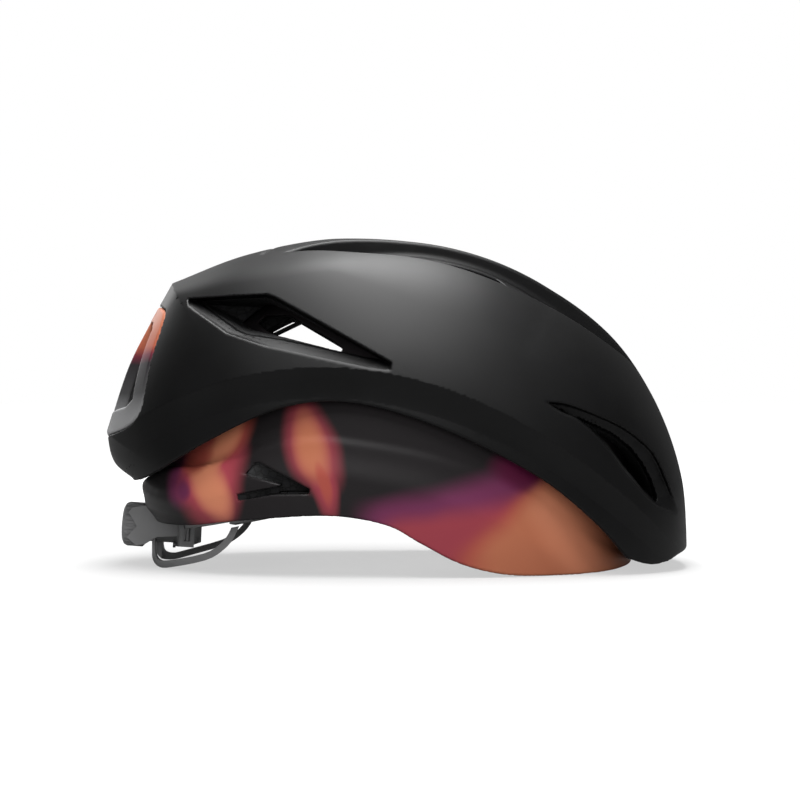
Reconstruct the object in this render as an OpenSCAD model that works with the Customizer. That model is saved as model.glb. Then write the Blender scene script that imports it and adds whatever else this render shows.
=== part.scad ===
// Road bike helmet with two nested liners and a dial-fit cradle.
// X points forward, Z up, Y to the wearer's left. The helmet rests on its front lobes and its nape loops.
// Outlines named after a view are drawn in the side view as [x, z], from above as [x, y] or from behind as [y, z].

/* [Outer shell] */
// Half of the shell's width where its sides bulge most
shell_half_w = 109; // [106:0.5:111]
// Height of the crown above the ground
crown_h = 163; // [160:0.5:166]
// Thickness of the thin outer skins
skin_t = 1.2; // [0.8:0.1:1.5]
// Depth of the tuck below the skirt crease, as a share of the half width
skirt_tuck = 0.05; // [0:0.01:0.06]
// Depth of the top air channels
channel_depth = 9; // [7:0.5:10]
// Depth that the tail frame reaches into the foam
frame_depth = 6; // [4:0.5:8]

/* [Slip joint between the liners] */
// Radius of the slip surface in the middle plane
slip_r = 115; // [114:0.2:116]
// Half width of the slip surface
slip_half_w = 93; // [91:0.5:93.5]
// Clearance between the two liners
slip_gap = 0.4; // [0.3:0.05:0.6]
// Swing of the outer liner each way, in degrees
slip_swing = 3; // [1:0.5:3]
// Height of the relieved band inside the outer rim
relief_h = 9; // [8:0.5:11]

/* [Inner liner] */
// Half of the flared skirt's width
flare_half_w = 98; // [96:0.5:99]
// Half length of the head cavity
cavity_half_l = 100; // [98:0.5:101]
// Half width of the head cavity
cavity_half_w = 78; // [76:0.5:79]
// Half height of the head cavity
cavity_half_h = 93; // [91:0.5:94]
// Thickness of the comfort pads
pad_t = 5; // [4:0.5:6]

/* [Fit system] */
// Radius of the belts round the head
belt_r = 70; // [69:0.5:71]
// Height of a belt's rack
belt_h = 12; // [11.5:0.25:12.5]
// Height of the strap that each belt runs out into
strap_h = 6; // [5:0.25:7]
// Thickness of a belt
belt_t = 1.2; // [1:0.1:1.4]
// Travel of a belt each way from the middle
belt_travel = 10; // [6:1:10]
// Running clearance in the fit system
fit_gap = 0.3; // [0.2:0.05:0.4]
// Pitch radius of the pinion
pinion_r = 3; // [2.9:0.05:3.1]
// Number of teeth on the pinion
pinion_teeth = 8; // [8:1:8]
// Height of a tooth above and below the pitch line
tooth_h = 0.75; // [0.6:0.05:0.8]
// Diameter of the dial wheel
dial_d = 22; // [20:0.5:22.5]
// Thickness of the dial wheel
dial_t = 11; // [9:0.5:12]
// Number of grip ridges round the dial
dial_ridges = 24; // [16:1:30]
// Distance from the belts' axis forward to the temple pivots
pivot_reach = 79; // [77:0.5:81]
// Diameter of the temple pivots
pivot_d = 5; // [4:0.5:6]
// Thickness of the side arms
arm_t = 2; // [1.6:0.1:2.2]
// Width of the nape loops' frame
loop_w = 3.2; // [2.6:0.2:4]
// Thickness of the nape loops
loop_t = 2.4; // [2:0.2:3]
// Swing of the cradle each way, in degrees
cradle_swing = 3; // [1:0.5:3]

/* [Hidden] */

eps = 0.01;
far = 200;

// Colours
shell_black = [0.07, 0.07, 0.07];
foam_black = [0.12, 0.12, 0.12];
liner_purple = [0.38, 0.16, 0.27];
trim_orange = [0.72, 0.36, 0.22];
plastic_grey = [0.3, 0.3, 0.31];

// One point of a smooth curve between b and c, with the points a and d on either side
function curve_point(a, b, c, d, t) =
    0.5 * (2 * b + (c - a) * t + (2 * a - 5 * b + 4 * c - d) * t * t + (3 * b - a - 3 * c + d) * t * t * t);
// Smooth curve through the points p, with n steps from each to the next
function smooth(p, n) = let (last = len(p) - 1) concat(
    [for (i = [0 : last - 1], k = [0 : n - 1])
        curve_point(p[max(i - 1, 0)], p[i], p[i + 1], p[min(i + 2, last)], k / n)],
    [p[last]]);
function clamp(v) = min(max(v, 0), 1);
// Roundness of every cross section, from 2 for an ellipse upwards
squareness = 2.5;
function across(s) = pow(max(1 - pow(s, squareness), 0), 1 / squareness);

// Side outline of the outer shell, from under the brow over the crown to the tail's corner
lift = crown_h - 163;
crown_rim = smooth([[139, -30], [143.8, 6], [141.5, 44], [128.5, 82], [106, 116.5 + lift / 2],
    [68.5, 144.5 + lift], [23.5, 160 + lift], [-29, 162.5 + lift], [-74, 154.5 + lift], [-112, 140 + lift]], 4);
// Side outline of the cut-off tail, from its corner down to the lip
tail_rim = smooth([[-112, 140 + lift], [-125, 116.5 + lift / 2], [-134.5, 96.5], [-144, 67]], 3);
// Side outline below the lip
under_rim = smooth([[-144, 67], [-140.5, 52], [-127, 36], [-112, -30]], 2);
outer_rim = concat(crown_rim, [for (i = [1 : len(tail_rim) - 1]) tail_rim[i]],
    [for (i = [1 : len(under_rim) - 1]) under_rim[i]]);
outer_centre = [0, -14];

// Height of the skirt crease along the outer shell's side
crease_top = [-35, 96.3];
function skirt_crease(x) = crease_top[1] - 0.003 * pow(x - crease_top[0], 2);
crease_blend = 12;
function tuck(x, z, share) = 1 - share * clamp((skirt_crease(x) - z) / crease_blend);

// Domed solid that stands on the two planes through the line along Y at the centre c.
// Its middle section is rim, moved inward by inset, and its sides bulge to half_w.
module dome(rim, c, half_w, inset, rings, step = 1, nose = 0, tail = 0, share = 0) {
    rows = [for (i = [0 : step : len(rim) - 1]) rim[i]];
    cols = len(rows);
    strips = 2 * rings;
    function pt(i, j) = let (
        v = rows[i] - c,
        reach = v * (1 - inset / norm(v)),
        a = 90 * j / rings - 90,
        s = pow(max(cos(a), 0), 2 / squareness),
        x = c[0] + reach[0] * s,
        z = c[1] + reach[1] * s,
        narrow = 1 - (v[0] > 0 ? nose : tail) * pow(v[0] / 140 * s, 2),
        y = (half_w - inset) * narrow * across(s) * sign(j - rings) * tuck(x, z, share))
        [x, j == rings ? 0 : y, z];
    left = [c[0], half_w - inset, c[1]];
    right = [c[0], inset - half_w, c[1]];
    points = concat([right], [for (j = [1 : strips - 1], i = [0 : cols - 1]) pt(i, j)], [left, [c[0], 0, c[1]]]);
    function at(i, j) = 1 + (j - 1) * cols + i;
    tip = len(points) - 2;
    hub = len(points) - 1;
    faces = concat(
        [for (i = [0 : cols - 2]) [0, at(i + 1, 1), at(i, 1)]],
        [for (j = [1 : strips - 2], i = [0 : cols - 2]) each
            [[at(i, j), at(i + 1, j + 1), at(i, j + 1)], [at(i, j), at(i + 1, j), at(i + 1, j + 1)]]],
        [for (i = [0 : cols - 2]) [tip, at(i, strips - 1), at(i + 1, strips - 1)]],
        [for (j = [1 : strips - 2]) each
            [[hub, at(0, j), at(0, j + 1)], [hub, at(cols - 1, j + 1), at(cols - 1, j)]]],
        [[hub, 0, at(0, 1)], [hub, at(0, strips - 1), tip],
            [hub, at(cols - 1, 1), 0], [hub, tip, at(cols - 1, strips - 1)]]);
    polyhedron(points, faces);
}

// Prism with a side-view outline, reaching from y0 to y1
module side_prism(outline, y0 = -far, y1 = far)
    translate([0, y1, 0]) rotate([90, 0, 0]) linear_extrude(y1 - y0) polygon(outline);
// Prism with an outline drawn from above
module plan_prism(outline, z0 = -far, z1 = 2 * far)
    translate([0, 0, z0]) linear_extrude(z1 - z0) polygon(outline);
// Prism with an outline drawn from behind
module rear_prism(outline, x0 = -far, x1 = far)
    translate([x0, 0, 0]) rotate([90, 0, 90]) linear_extrude(x1 - x0) polygon(outline);
module both_sides() {
    children();
    mirror([0, 1, 0]) children();
}

// Solid of revolution about the slip axis, with radius r in the middle and half width w
slip_centre = [0, 34];
module slip_solid(r, w, steps = 14)
    translate([slip_centre[0], 0, slip_centre[1]]) rotate([90, 0, 0])
        rotate_extrude($fn = 96) polygon(concat([[0, -w]],
            [for (i = [1 : 2 * steps - 1]) let (a = 90 * i / steps - 90, s = pow(max(cos(a), 0), 2 / squareness))
                [r * s, w * across(s) * sign(i - steps)]],
            [[0, w]]));

// Lower edge of the outer shell, from the tail over the ear to the brow
arch = concat(smooth([[-128, 41.5], [-114.6, 47], [-86.5, 63], [-58.6, 76], [-33, 80.6], [-5.6, 77],
    [29, 64.6], [65.7, 45.4], [91.7, 24.4], [106.8, 7.9]], 3),
    smooth([[106.8, 7.9], [118, 4.4], [128, 5], [136, 8.2], [150, 10.5]], 2));
function raised(line, h) = [for (p = line) p + [0, h]];
function above(line) = concat([[-far, line[0][1]]], line, [[far, line[len(line) - 1][1]], [far, far], [-far, far]]);

// Big vent behind the shoulder, in the side view
rear_vent = concat(smooth([[-99, 126], [-99.6, 129.6], [-61.5, 131], [-57.7, 129.6], [-3, 98.5]], 1),
    [[-3.4, 95.3], [-10.7, 95.8], [-38.8, 101.7], [-59.9, 106.3], [-79.3, 112.8], [-88, 118.8]]);
// Crescent vent beside the brow, in the side view
front_vent = concat(smooth([[69, 80.5], [80.2, 78.7], [101.8, 70.2], [114.5, 62], [121.6, 54.7],
    [128.2, 41.1], [133.8, 27.5]], 2), smooth([[123.9, 31.2], [116.9, 36.5], [106.1, 48.1], [97.6, 59.4],
    [84.9, 71.6], [75, 76.5]], 2));
// V-shaped vent in the inner liner, in the side view
v_vent = [[-72.3, 50.9], [-69.6, 52.6], [-63.6, 52.7], [-40, 40.8], [-40.3, 38.6], [-58, 38], [-73.2, 35],
    [-73.8, 38], [-52, 42.4], [-72.3, 47.6]];
v_vent_floor = 84;
// Air channel beside the spine, from above
channel = smooth([[-54, -31], [-24, -41], [6, -43.5], [42, -41], [80, -33], [112, -21], [117, -17], [100, -14],
    [60, -15], [0, -18], [-34, -23], [-54, -31]], 2);
// Slots through the floor of each channel, from above
channel_slots = [[[-38, -30], [-30, -37.5], [0, -39.5], [4, -34], [2, -27], [-32, -25]],
    [[15, -28], [15, -38], [48, -36.5], [52, -30], [48, -24]],
    [[62, -24], [62, -33.5], [84, -28.5], [97, -22], [92, -19]]];
// Tail frame and its two ports, from behind
frame_outline = smooth([[-30, 126], [0, 127.5], [30, 126], [43, 121], [51, 100], [57, 78], [50, 69], [28, 64.5],
    [0, 63], [-28, 64.5], [-50, 69], [-57, 78], [-51, 100], [-43, 121], [-30, 126]], 2);
tail_port = [[-8, 119.5], [-30, 118.5], [-36.5, 115], [-43, 98], [-48.5, 82], [-44, 78.5], [-26, 76.5], [-10, 76]];

module outer_block(inset, step = 1, rings = 12)
    dome(outer_rim, outer_centre, shell_half_w, inset, rings, step, nose = 0.03, tail = 0.12, share = skirt_tuck);

// Notch in the rear rim over the dial, from behind
dial_notch = [[-18.5, -50], [-18.5, 32], [-15.5, 44.5], [-9, 46.5], [9, 46.5], [15.5, 44.5], [18.5, 32], [18.5, -50]];
module outer_air() {
    rear_prism(dial_notch, -far, -100);
    both_sides() {
        side_prism(rear_vent, -far, -25);
        side_prism(front_vent, -far, -22);
        difference() {
            plan_prism(channel, 60);
            outer_block(channel_depth, 3, 6);
        }
        for (slot = channel_slots) plan_prism(slot, 60);
        rear_prism(tail_port, -far, -70);
    }
}

// Space inside the outer liner: the slip surface, and a wider band inside the rim
relief_r = 131.5;
relief_half_w = slip_half_w + 2.5;
module slip_space() {
    slip_solid(slip_r + slip_gap, slip_half_w + slip_gap);
    difference() {
        slip_solid(relief_r, relief_half_w);
        side_prism(above(raised(arch, relief_h)));
    }
}

module outer_shell() color(shell_black) difference() {
    intersection() {
        outer_block(0);
        side_prism(above(arch));
    }
    outer_block(skin_t, 3, 6);
    slip_space();
    outer_air();
    rear_prism(frame_outline, -far, frame_front - eps);
}

// The tail frame reaches forward to this X
frame_front = -90;
module frame_seat()
    intersection() {
        difference() {
            outer_block(-1, 3, 6);
            outer_block(frame_depth, 3, 6);
        }
        rear_prism(frame_outline, -far, frame_front);
    }

module outer_foam() color(foam_black) difference() {
    intersection() {
        outer_block(skin_t, 3, 6);
        side_prism(above(arch));
    }
    slip_space();
    outer_air();
    frame_seat();
    post_pockets();
}

module exhaust_frame() color(trim_orange) difference() {
    intersection() {
        outer_block(0);
        rear_prism(frame_outline, -far, frame_front);
    }
    outer_block(frame_depth, 3, 6);
    both_sides() rear_prism(tail_port, -far, -70);
}

// Elastic posts between the liners, standing on the slip surface at these angles above the horizon
post_places = [[64, -12], [64, 12], [138, -30], [138, 30]];
post_d = 8;
// How far a post stands out of the slip surface, and the room round it in the outer foam
post_out = 4;
post_room = 1;
module at_post(p)
    translate([slip_centre[0], p[1], slip_centre[1]]) rotate([0, -p[0], 0]) children();
module slip_posts() color([0.2, 0.2, 0.2]) intersection() {
    union() for (p = post_places) at_post(p) rotate([0, 90, 0]) cylinder(d = post_d, h = slip_r + post_out, $fn = 32);
    difference() {
        slip_solid(slip_r + post_out, slip_half_w + post_out);
        slip_solid(slip_r - 4, slip_half_w - 4);
    }
}
module post_pockets() intersection() {
    union() for (p = post_places) at_post(p) hull() for (turn = [-1, 1]) rotate([0, turn * (slip_swing + 0.6), 0])
        rotate([0, 90, 0]) cylinder(d = post_d + 2 * post_room, h = slip_r + post_out + 1, $fn = 24);
    slip_solid(slip_r + post_out + 0.6 * post_room, slip_half_w + post_out + 0.6 * post_room);
}

// Inner liner: flared skirt below its crease, slip surface above it
flare_rim = smooth([[108, -40], [118, -2], [119, 30], [100, 90], [40, 140], [-60, 140], [-118, 90], [-129.5, 48],
    [-127.5, 33], [-117, 16], [-104, -40]], 3);
flare_centre = [-5, 10];
module flare_block(inset) dome(flare_rim, flare_centre, flare_half_w, inset, 8, 1, nose = 0.12, tail = 0.1);
flare_crease = smooth([[-140, 41], [-128, 41], [-116, 47], [-104, 50], [-94, 50.5], [-73, 54.5], [-62.7, 59],
    [-38.5, 61.9], [-18.4, 60], [14.5, 53.6], [44.7, 42.6], [60.7, 34.9], [79.4, 22], [96, 11.5], [108, 7],
    [118, 5.2], [126, 5]], 2);
// Lower edge of the inner liner, from the nape to the brow
inner_edge = smooth([[-150, 23], [-103, 22.3], [-74.7, 25.6], [-32.6, 28.5], [-5.6, 24.4], [10.4, 16.1], [29, 6.5],
    [50, 1.2], [74, 0.15], [99, 0.4], [113, 1.7], [120, 3.6], [140, 9]], 3);

module inner_block(inset) intersection() {
    union() {
        slip_solid(slip_r - inset, slip_half_w - inset);
        difference() {
            flare_block(inset);
            side_prism(above(flare_crease));
        }
    }
    side_prism(above(inner_edge));
}

cavity_centre = [-4, 38];
cavity_rim = [for (a = [-60 : 10 : 240]) let (r = pow(pow(abs(cos(a)) / cavity_half_l, 2.3)
    + pow(abs(sin(a)) / cavity_half_h, 2.3), -1 / 2.3)) cavity_centre + r * [cos(a), sin(a)]];
module cavity_cap(inset, step = 1, rings = 7) dome(cavity_rim, cavity_centre, cavity_half_w, inset, rings, step);
// Head cavity, open downward
module cavity(inset = 0) {
    cavity_cap(inset);
    translate([cavity_centre[0], 0, -far + cavity_centre[1]]) linear_extrude(far)
        scale([cavity_half_l - inset, cavity_half_w - inset]) circle(1, $fn = 64);
}

// Notch over the nape and the tail's ports, from behind
nape_notch = [[-31, -20], [31, -20], [31, 34], [24, 43.5], [-24, 43.5], [-31, 34]];
inner_tail_port = [[-10, 108], [-30, 106], [-38, 92], [-40, 84], [-10, 82]];
// Ports behind the outer liner's side and front vents, in the side view
inner_side_port = [[-67, 118.5], [-63, 122], [-52, 122], [-30, 109.2], [-25.4, 105], [-26.6, 103.6], [-53, 109.8],
    [-62, 114.2]];
inner_front_port = [[72, 62], [88, 58], [98, 44], [92, 34], [78, 44], [66, 56]];
module inner_air() {
    both_sides() {
        side_prism(v_vent, -far, -v_vent_floor);
        side_prism(inner_side_port, -far, -22);
        for (slot = channel_slots) plan_prism(slot, 60);
        rear_prism(inner_tail_port, -far, -60);
        side_prism(inner_front_port, -far, -20);
    }
    rear_prism(nape_notch, -far, -70);
    strap_channel();
}

module inner_shell() color(liner_purple) difference() {
    inner_block(0);
    inner_block(skin_t);
    cavity();
    inner_air();
    temple_seats();
    slip_post_seats();
    cradle_room();
}
module inner_foam() color(foam_black) difference() {
    inner_block(skin_t);
    cavity();
    inner_air();
    temple_seats();
    slip_post_seats();
    anchor_seats();
    cradle_room();
}
module slip_post_seats() for (p = post_places) at_post(p) rotate([0, 90, 0]) translate([0, 0, slip_r - 14])
    cylinder(d = post_d, h = 30, $fn = 32);

// Strip of thickness t along a path in the side view
function strip_normal(p, i) = let (d = p[min(i + 1, len(p) - 1)] - p[max(i - 1, 0)]) [-d[1], d[0]] / norm(d);
function shifted(p, t) = [for (i = [0 : len(p) - 1]) p[i] + t * strip_normal(p, i)];
function turned(p) = [for (i = [len(p) - 1 : -1 : 0]) p[i]];
function strip(p, t) = concat(shifted(p, t / 2), turned(shifted(p, -t / 2)));

// Frame of the belts: local X runs forward in their plane, local Z is their axis
belt_tilt = 12;
dial_tilt = 4;
lean = belt_tilt + dial_tilt;
dial_point = [-106, 17.8];
forward = [cos(belt_tilt), sin(belt_tilt)];
belt_centre = dial_point + belt_r * forward;
module belt_frame() translate([belt_centre[0], 0, belt_centre[1]]) rotate([0, -belt_tilt, 0]) children();
// Frame of the dial: local X up, local Z backward along its axis, from the middle of the belts
module dial_frame() translate([dial_point[0], 0, dial_point[1]]) rotate([0, dial_tilt - 90, 0]) children();
// Conical band between two angles, measured from the rear and positive to the left
module band(a0, a1, offset, thick, high, rise = 0)
    belt_frame() rotate([0, 0, 180 - a1]) rotate_extrude(angle = a1 - a0, $fn = 180)
        translate([belt_r, 0]) rotate(lean) translate([offset - thick / 2, rise - high / 2]) square([thick, high]);

// Belts: two layers that pass each other behind the head
layer = (belt_t + fit_gap) / 2;
tooth_pitch = 2 * PI * pinion_r / pinion_teeth;
tooth_step = tooth_pitch / belt_r * 180 / PI;
slot_deg = (belt_travel + pinion_r + tooth_h + 1) / belt_r * 180 / PI;
tail_deg = slot_deg + 3 / belt_r * 180 / PI;
sleeve_from = 54;
sleeve_to = 88;
belt_end = 72;
// The strap runs level with the upper edge of the rack
strap_rise = (belt_h - strap_h) / 2;
// Teeth of a rack on the edge of the slot; the rack above the pinion faces down
module rack_cut(side, offset) for (k = [-6 : 6]) belt_frame() rotate([0, 0, 180 - k * tooth_step])
    translate([belt_r, 0, 0]) rotate([0, -lean, 0]) translate([offset - belt_t, 0, side * (pinion_r - tooth_h)])
        rotate([90, 0, 90]) linear_extrude(2 * belt_t) polygon([[-0.95, -side], [-0.95, 0.2 * side],
            [-0.55, side * (2 * tooth_h + 0.1)], [0.55, side * (2 * tooth_h + 0.1)], [0.95, 0.2 * side],
            [0.95, -side]]);
// A belt on the wearer's right, with its rack above or below the pinion
module belt(offset, rack) difference() {
    difference() {
        band(-belt_end, tail_deg, offset, belt_t, belt_h);
        // The slot's plain edge stands clear of the pinion
        belt_frame() rotate([0, 0, 180 - slot_deg]) rotate_extrude(angle = 2 * slot_deg, $fn = 180)
            translate([belt_r, 0]) rotate(lean)
                translate([offset - belt_t, rack > 0 ? -pinion_r - tooth_h - fit_gap : tooth_h - pinion_r])
                    square([2 * belt_t, 2 * pinion_r + fit_gap]);
        // Beyond the rack only the strap goes on
        band(-belt_end - 1, -tail_deg, offset, 3 * belt_t, belt_h, -strap_h);
    }
    rack_cut(rack, offset);
}
module belt_left() color(plastic_grey) mirror([0, 1, 0]) belt(-layer, 1);
module belt_right() color(plastic_grey) belt(layer, -1);

// Temple pivots
pivot = belt_centre + pivot_reach * forward;
arm_y = belt_r - 0.2;
module at_pivot(side) translate([pivot[0], side * (arm_y - arm_t / 2), pivot[1]]) rotate([-90 * side, 0, 0]) children();
anchor_in = arm_t + fit_gap;
pivot_head_t = 1.4;
module temple_base() translate([0, 0, anchor_in]) cylinder(d = 13, h = 6.5, $fn = 48);
module temple_anchor(side) at_pivot(side) {
    translate([0, 0, -fit_gap]) cylinder(d = pivot_d, h = anchor_in + fit_gap + eps, $fn = 48);
    translate([0, 0, -fit_gap - pivot_head_t]) cylinder(d = pivot_d + 4, h = pivot_head_t, $fn = 48);
    temple_base();
}
module temple_seats() for (side = [-1, 1]) at_pivot(side) temple_base();
module temple_anchor_left() color(plastic_grey) temple_anchor(1);
module temple_anchor_right() color(plastic_grey) temple_anchor(-1);

// Side arms: a sleeve round the belt's end, and a tapered plate forward to the temple pivot
sleeve_wall = 1.2;
sleeve_t = belt_t + 2 * fit_gap + 2 * sleeve_wall;
sleeve_h = strap_h + 2 * fit_gap + 2 * sleeve_wall;
arm_root = sleeve_h - 2;
// An arm on the wearer's right, without its sleeve
module arm_plate() difference() {
    belt_frame() translate([0, arm_t / 2 - arm_y, 0]) rotate([90, 0, 0]) linear_extrude(arm_t) difference() {
        hull() {
            translate([6, strap_rise - arm_root / 2]) square([1, arm_root]);
            translate([pivot_reach, 0]) circle(d = pivot_d + 7, $fn = 32);
        }
        // Lightening window
        hull() {
            translate([18, strap_rise - 0.4]) circle(d = arm_root / 2, $fn = 32);
            translate([pivot_reach - 16, 0]) circle(d = 4.5, $fn = 32);
        }
    }
    at_pivot(-1) translate([0, 0, -5]) cylinder(d = pivot_d + 0.1, h = 12, $fn = 48);
}
module arm_sleeve(offset) difference() {
    union() {
        band(-sleeve_to, -sleeve_from, offset, sleeve_t, sleeve_h, strap_rise);
        // Root where the leaning sleeve turns into the upright plate
        hull() {
            band(0.4 - sleeve_to, 2.4 - sleeve_to, offset, sleeve_t - 0.3, sleeve_h - 0.6, strap_rise);
            belt_frame() translate([9, -arm_y, strap_rise]) cube([4, arm_t - 0.2, arm_root - 0.5], center = true);
        }
    }
    band(4 - sleeve_to, 1 - sleeve_from, offset, belt_t + 2 * fit_gap, strap_h + 2 * fit_gap, strap_rise);
}
module side_arm(offset) {
    arm_plate();
    arm_sleeve(offset);
}
module side_arm_left() color(plastic_grey) mirror([0, 1, 0]) side_arm(-layer);
module side_arm_right() color(plastic_grey) side_arm(layer);

// Dial housing: a base with the belts' channel, and a cover that carries the wheel
house_deg = 17;
chan_t = 2 * layer + belt_t + 2 * fit_gap;
chan_h = belt_h + 2 * fit_gap;
plate_t = 2;
house_wall = 2.8;
house_h = chan_h + 2 * house_wall;
neck_d = 16;
wheel_at = 19.8;
bore_d = 5;
module housing_base() color(plastic_grey) difference() {
    band(-house_deg, house_deg, -plate_t / 2, chan_t + plate_t, house_h);
    band(-house_deg - 1, house_deg + 1, 0.5, chan_t + 1, chan_h);
    dial_frame() translate([0, 0, -8]) cylinder(d = bore_d + 0.1, h = 16, $fn = 48);
    screw_holes(-8);
}
cheek = [[-108.5, 22], [-112, 20.5], [-116, 24.5], [-123.9, 29.4], [-130.8, 28.4], [-132.8, 26.1], [-128.8, 19.2],
    [-133.8, 13.8], [-129.3, 9.8], [-124.8, 10.3], [-119, 13.8], [-108.5, 14.2]];
cheek_y = dial_d / 2 + 0.6;
module housing_cover() color(plastic_grey) difference() {
    union() {
        band(-house_deg, house_deg, chan_t / 2 + plate_t / 2, plate_t, house_h);
        dial_frame() translate([0, 0, chan_t / 2 + 1]) cylinder(d = neck_d, h = wheel_at - chan_t / 2 - 4, $fn = 64);
        both_sides() side_prism(cheek, cheek_y, cheek_y + 1.6);
    }
    dial_frame() translate([0, 0, -8]) cylinder(d = bore_d + 0.1, h = 40, $fn = 48);
    screw_holes(chan_t / 2 - 2);
}
// Ring of detent notches at the end of the neck
module detent_ring() color([0.6, 0.6, 0.6]) dial_frame() translate([0, 0, wheel_at - 3]) difference() {
    cylinder(d = neck_d, h = 2.6, $fn = 64);
    translate([0, 0, -1]) cylinder(d = bore_d + 4, h = 5, $fn = 48);
    for (k = [0 : 17]) rotate(k * 20) translate([neck_d / 2 - 1, 0, 1.6]) rotate(45) cube([1.2, 1.2, 3], center = true);
}
screw_up = chan_h / 2 + house_wall / 2;
screw_at = [[screw_up, 14], [-screw_up, 14], [screw_up, -14], [-screw_up, -14]];
module screw_holes(z) for (p = screw_at) dial_frame() translate([p[0], p[1], z - 2]) cylinder(d = 2, h = 14, $fn = 24);
module cover_screws() color([0.55, 0.55, 0.57]) for (p = screw_at) dial_frame() translate([p[0], p[1], 0]) {
    translate([0, 0, -3]) cylinder(d = 2, h = 6, $fn = 24);
    translate([0, 0, 3]) cylinder(d = 3.4, h = 1.2, $fn = 24);
}

// Pinion with its shaft, driven by the dial wheel
gear_t = chan_t - 0.5;
module pinion() color([0.6, 0.6, 0.6]) dial_frame() {
    translate([0, 0, -gear_t / 2]) linear_extrude(gear_t) union() {
        circle(pinion_r - tooth_h - 0.15, $fn = 48);
        for (k = [0 : pinion_teeth - 1]) rotate(360 * k / pinion_teeth)
            polygon([[0, -0.56], [pinion_r - tooth_h, -0.56], [pinion_r + tooth_h - 0.2, -0.2],
                [pinion_r + tooth_h - 0.2, 0.2], [pinion_r - tooth_h, 0.56], [0, 0.56]]);
    }
    translate([0, 0, -chan_t / 2 - plate_t])
        cylinder(d = bore_d, h = plate_t + (chan_t - gear_t) / 2 + eps, $fn = 48);
    translate([0, 0, gear_t / 2 - eps]) difference() {
        cylinder(d = bore_d, h = wheel_at + 4 - gear_t / 2, $fn = 48);
        translate([0, 0, wheel_at - 4]) cylinder(d = 2, h = 20, $fn = 24);
    }
}
module dial_wheel() color([0.1, 0.1, 0.1]) dial_frame() translate([0, 0, wheel_at]) difference() {
    rotate_extrude($fn = 96) polygon([[0, 0], [dial_d / 2 - 1, 0], [dial_d / 2, 1], [dial_d / 2, dial_t - 2.5],
        [dial_d / 2 - 0.8, dial_t - 0.9], [dial_d / 2 - 2.6, dial_t], [0, dial_t]]);
    translate([0, 0, -1]) cylinder(d = bore_d, h = 5 + eps, $fn = 48);
    cylinder(d = 2, h = 9, $fn = 24);
    translate([0, 0, dial_t - 4]) cylinder(d = 5, h = 6, $fn = 32);
    for (k = [0 : dial_ridges - 1]) rotate(360 * k / dial_ridges) translate([dial_d / 2 + 0.35, 0, 1.5])
        cylinder(d = 1.7, h = dial_t - 1, $fn = 24);
}
module dial_screw() color([0.55, 0.55, 0.57]) dial_frame() translate([0, 0, wheel_at]) {
    translate([0, 0, -2]) cylinder(d = 2, h = dial_t - 2, $fn = 24);
    translate([0, 0, dial_t - 4]) cylinder(d = 4.6, h = 1.6, $fn = 32);
}

// Hanger strap: an arc about the temple pivots, then up the middle of the liner to the crown
// The arc runs this far inside the belts
hanger_clear = 7;
hanger_r = pivot_reach + belt_r - hanger_clear;
hanger_w = 14;
hanger_t = 1.6;
hanger_arc = [for (a = [-11 : 3 : 13]) pivot + hanger_r * [-cos(a), sin(a)]];
hanger_top = smooth([hanger_arc[len(hanger_arc) - 1], [-90, 95], [-76, 106.3], [-57, 116.2], [-37, 125.5]], 3);
hanger_path = concat(hanger_arc, [for (i = [1 : len(hanger_top) - 1]) hanger_top[i]]);
module hanger_strap() color([0.1, 0.1, 0.1]) difference() {
    side_prism(strip(hanger_path, hanger_t), -hanger_w / 2, hanger_w / 2);
    at_crown() cylinder(d = 5, h = 20, center = true, $fn = 32);
}
crown_point = [-43, 122.75];
crown_slope = 24.5;
module at_crown() translate([crown_point[0], 0, crown_point[1]]) rotate([0, -crown_slope, 0]) children();
module hanger_anchor() color(plastic_grey) at_crown() {
    translate([0, 0, -2.6]) cylinder(d = 9, h = 1.6, $fn = 32);
    translate([0, 0, -2]) cylinder(d = 4.8, h = 4, $fn = 32);
    translate([0, 0, 1.1]) cylinder(d = 12, h = 7, $fn = 32);
}
module strap_channel() {
    side_prism(concat([pivot], shifted(hanger_path, hanger_t / 2 + 1.2)), -hanger_w / 2 - 1.5, hanger_w / 2 + 1.5);
    at_crown() translate([0, 0, 1.1]) cylinder(d = 12, h = 7, $fn = 32);
}
// Carriage on the housing that slides on the hanger strap
carriage_arc = [for (a = [-10.5 : 1.5 : -3]) pivot + hanger_r * [-cos(a), sin(a)]];
carriage_t = hanger_t + 4;
carriage_half_w = hanger_w / 2 + 2.5;
module hanger_carriage() color(plastic_grey) difference() {
    side_prism(strip(carriage_arc, carriage_t), -carriage_half_w, carriage_half_w);
    side_prism(strip(hanger_arc, hanger_t + 2 * fit_gap), -hanger_w / 2 - fit_gap, hanger_w / 2 + fit_gap);
    band(-30, 30, 0, 40, house_h);
}

// Nape loops: thin frames that wrap the back of the head below the dial
loop_r = 61;
loop_x = -60.3;
loop_start = 11;
loop_low = loop_w / 2 + 0.09;
loop_line = smooth([[-120.6, 17], [-120.6, 8], [-119.4, 3.8], [-115.6, loop_low], [-109.5, 2.4], [-92, 6.7], [-84, 11.2],
    [-78.8, 17], [-75.4, 25]], 3);
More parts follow.
